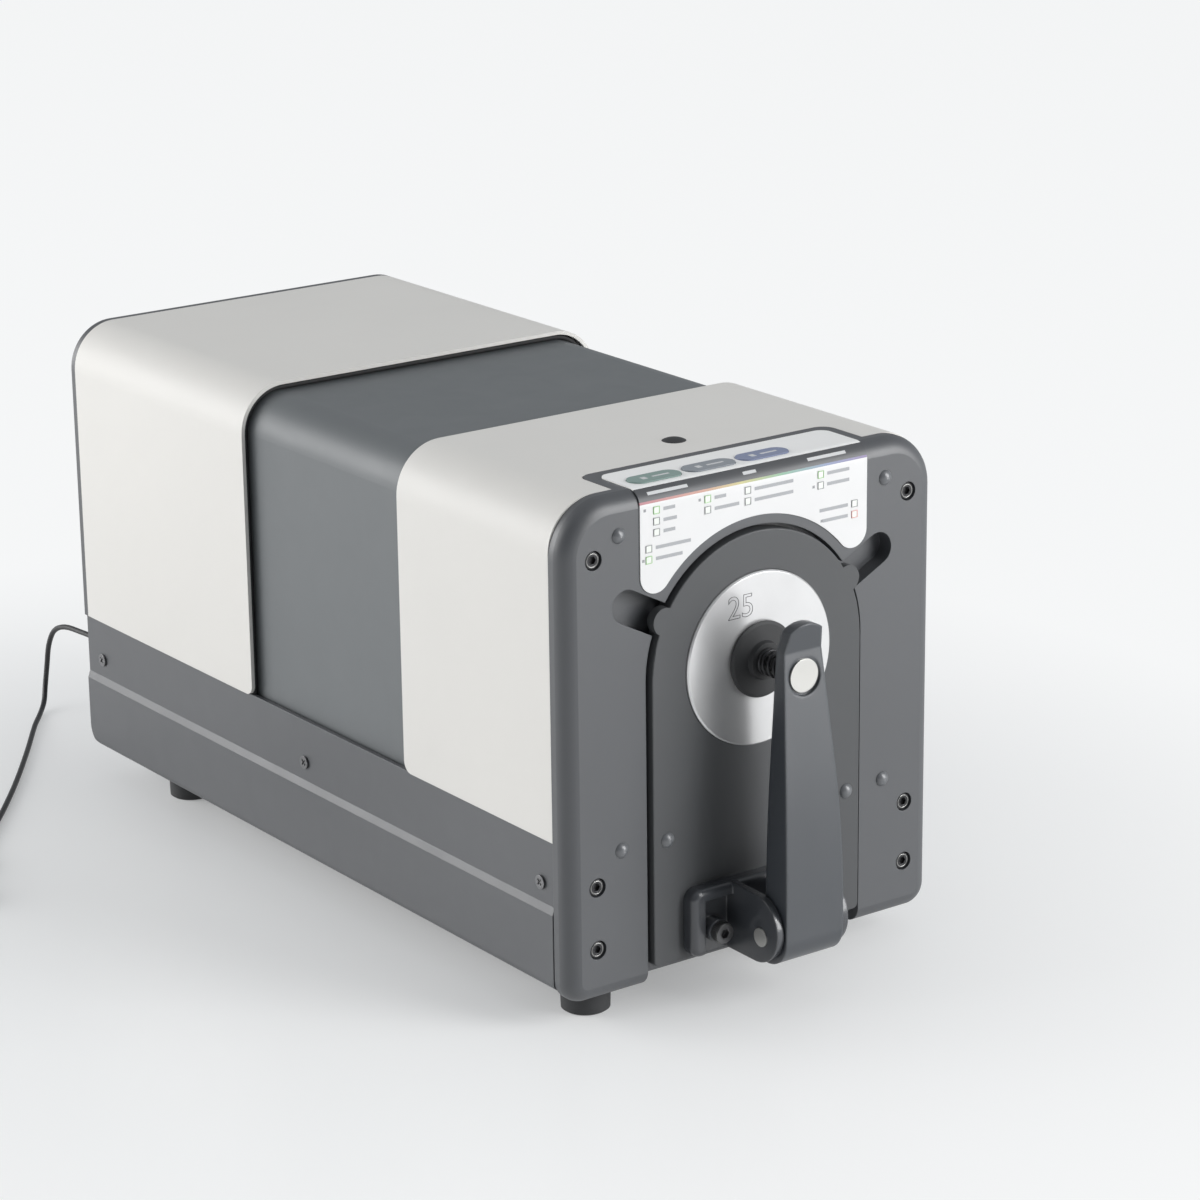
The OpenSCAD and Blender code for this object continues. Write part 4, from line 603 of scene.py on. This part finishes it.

# %% [markdown]
# ## Print on the film
# Each indicator window has a printed grey frame, and where the indicator is lit the frame is painted green or red as
# the glow of its light. Beside the windows stand captions, shown here as plain bars, since this part carries no words.
# Frames and bars take their ink from a colour that each point carries.

# %% Ink, and the painted glow of lit windows
ink_and_glow, shader, place = blank("printed_ink_and_glow")
tint = place.make("ShaderNodeAttribute", {"attribute_name": "tint"}, {}, "Color")
spread = place.make("ShaderNodeTexNoise", {}, {"Vector": place, "Scale": 2400.0, "Detail": 2.0})
feed(shader, {"Base Color": (spread * 0.35).mix(tint, (0.8, 0.8, 0.8, 1)), "Roughness": 0.4 + spread * 0.12})
finishes["printed_ink_and_glow"] = ink_and_glow
# frames of lit windows are painted green or red for the glow of their light
LIT_GREEN_GLOW, LIT_RED_GLOW, GREY = (0.22, 0.55, 0.12, 1), (0.72, 0.22, 0.2, 1), (0.2, 0.21, 0.22, 1)
CAPTION, PALE = (0.3, 0.31, 0.33, 1), (0.6, 0.61, 0.62, 1)
print("ink_and_glow", ink_and_glow.name)

# %% Frames of the windows
frame_tree, given = tree_of("frames", [("Window", "NodeSocketFloat", 0.0034), ("Line", "NodeSocketFloat", 0.0003)])
square = given["Geometry"].make("GeometryNodeCurvePrimitiveQuadrilateral", {}, {"Width": given["Window"],
                                                                                "Height": given["Window"]})
section = square.make("GeometryNodeCurvePrimitiveCircle", {}, {"Radius": given["Line"], "Resolution": 6})
border = square.make("GeometryNodeCurveToMesh", {}, {"Curve": square, "Profile Curve": section})
close_tree(frame_tree, stand(given["Geometry"], border, TO_FRONT), given["Finish"])

FILM_Y, WINDOW_PITCH = -0.21855, 0.0055
groups = [(-0.0603, 0.2586, (LIT_GREEN_GLOW, GREY, GREY)), (-0.065, 0.2401, (GREY, LIT_GREEN_GLOW)), (-0.0295, 0.2586, (LIT_GREEN_GLOW, GREY)),
          (-0.005, 0.2586, (GREY, GREY)), (0.0404, 0.2586, (LIT_GREEN_GLOW, GREY)), (0.062, 0.2401, (GREY, LIT_RED_GLOW))]
window_places, window_tints = [], []
for gx, gz, tints in groups:
    for row, colour in enumerate(tints):
        window_places.append((gx, FILM_Y, gz - row * WINDOW_PITCH))
        window_tints.append(colour)
grown("window_frames", dots("window_dots", window_places, tint=window_tints), frame_tree, {"Line": 0.00025}, "chassis",
      "indicator", "printed_ink_and_glow", smooth=False)

# %% Caption bars
bar_tree, given = tree_of("bars", [("Lean", "NodeSocketVector", (0, 0, 0))])
extent = given["Geometry"].make("GeometryNodeInputNamedAttribute", {"data_type": "FLOAT_VECTOR"}, {"Name": "extent"},
                                "Attribute")
block = extent.make("GeometryNodeMeshCube", {}, {"Size": (1, 1, 1)}, "Mesh")
close_tree(bar_tree, stand(given["Geometry"], block, given["Lean"], extent), given["Finish"])
INK_DEPTH = 0.00008


def bars(name, rows, lean, body, slot):
    """Rows of (place, length, height, ink) as thin printed bars."""
    places, lengths, heights, inks = zip(*rows)
    extents = [(length, INK_DEPTH, height) for length, height in zip(lengths, heights)]
    mesh = dots(name + "_dots", places, extent=extents, tint=inks)
    grown(name, mesh, bar_tree, {"Lean": lean}, body, slot, "printed_ink_and_glow", smooth=False)


# caption lengths in each group, in millimetres; a negative one stands left of its window
lengths = [(7, 8, 7), (21, 16), (7, 15), (24, 24), (14, 14), (-18, -16)]
CAPTION_Y, CAPTION_GAP, CAPTION_HEIGHT, SPOT = -0.21837, 0.0042, 0.0017, 0.0014
rows = []
for (gx, gz, _), group in zip(groups, lengths):
    for row, length in enumerate(group):
        middle = gx + math.copysign(CAPTION_GAP, length) + length * MM / 2
        rows.append(((middle, CAPTION_Y, gz - row * WINDOW_PITCH), abs(length) * MM, CAPTION_HEIGHT, CAPTION))
spots = [(-0.0672, 0.2594), (-0.0682, 0.2346), (-0.0343, 0.2589), (0.036, 0.253), (0.0412, 0.2347)]
rows += [((sx, CAPTION_Y, sz), SPOT, SPOT, GREY) for sx, sz in spots]
bars("captions", rows, (0, 0, 0), "chassis", "overlay_film")

BEND_Y, BEND_Z, BEND_R, STRIPE_MID = -0.20975, 0.261, 0.0086, math.radians(42)
on_bend = (BEND_Y - BEND_R * math.cos(STRIPE_MID), BEND_Z + BEND_R * math.sin(STRIPE_MID))
title_spans = ((-0.052, 0.024), (-0.0023, 0.008), (0.0458, 0.024))
titles = [((tx, *on_bend), length, CAPTION_HEIGHT, PALE) for tx, length in title_spans]
bars("stripe_titles", titles, (-STRIPE_MID, 0, 0), "chassis", "overlay_film")

# %% Bars on the keys
KEY_Y = -0.20275
# offset, length and height of each mark
key_marks = ((0.004, 0.010, 0.0016), (-0.006, 0.003, 0.0035))
for side, kx in (("left", -0.050), ("middle", -0.017), ("right", 0.016)):
    key, body = "key_" + side, side + "_key"
    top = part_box(key)[1][2]
    rows = [((kx + offset, KEY_Y, top), length, height, PALE) for offset, length, height in key_marks]
    slot = next(part["material_slot"] for part in frame["record"]["subparts"] if part["node"] == key)
    bars(key + "_print", rows, (-math.pi / 2, 0, 0), body, slot)

# %% [markdown]
# ## Number on the aperture plate
# The plate carries the width of its aperture in millimetres, cut as an outline. A text without fill and with a thin
# bevel gives that outline as wire. It is made a mesh first and then turned upright and set on the plate.

# %% Number
NUMBER_PLACE = (-0.0202, -0.22175, 0.1962)
figures = bpy.data.curves.new("aperture_number", "FONT")
figures.body, figures.size, figures.fill_mode = "25", 0.0165, "NONE"
figures.bevel_depth, figures.bevel_resolution, figures.resolution_u = 0.00016, 1, 6
holder = bpy.data.objects.new("number_seed", figures)
scene.collection.objects.link(holder)
bpy.context.view_layer.update()
outline = bpy.data.meshes.new_from_object(holder.evaluated_get(bpy.context.evaluated_depsgraph_get()))
bpy.data.objects.remove(holder)
outline.transform(Matrix.Translation(NUMBER_PLACE) @ Matrix.Rotation(math.pi / 2, 4, "X"))
outline.materials.clear()
outline.materials.append(finishes["black_steel"])
number = bpy.data.objects.new("aperture_number", outline)
scene.collection.objects.link(number)
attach(number, "panel")
print("number", len(outline.polygons), "faces")
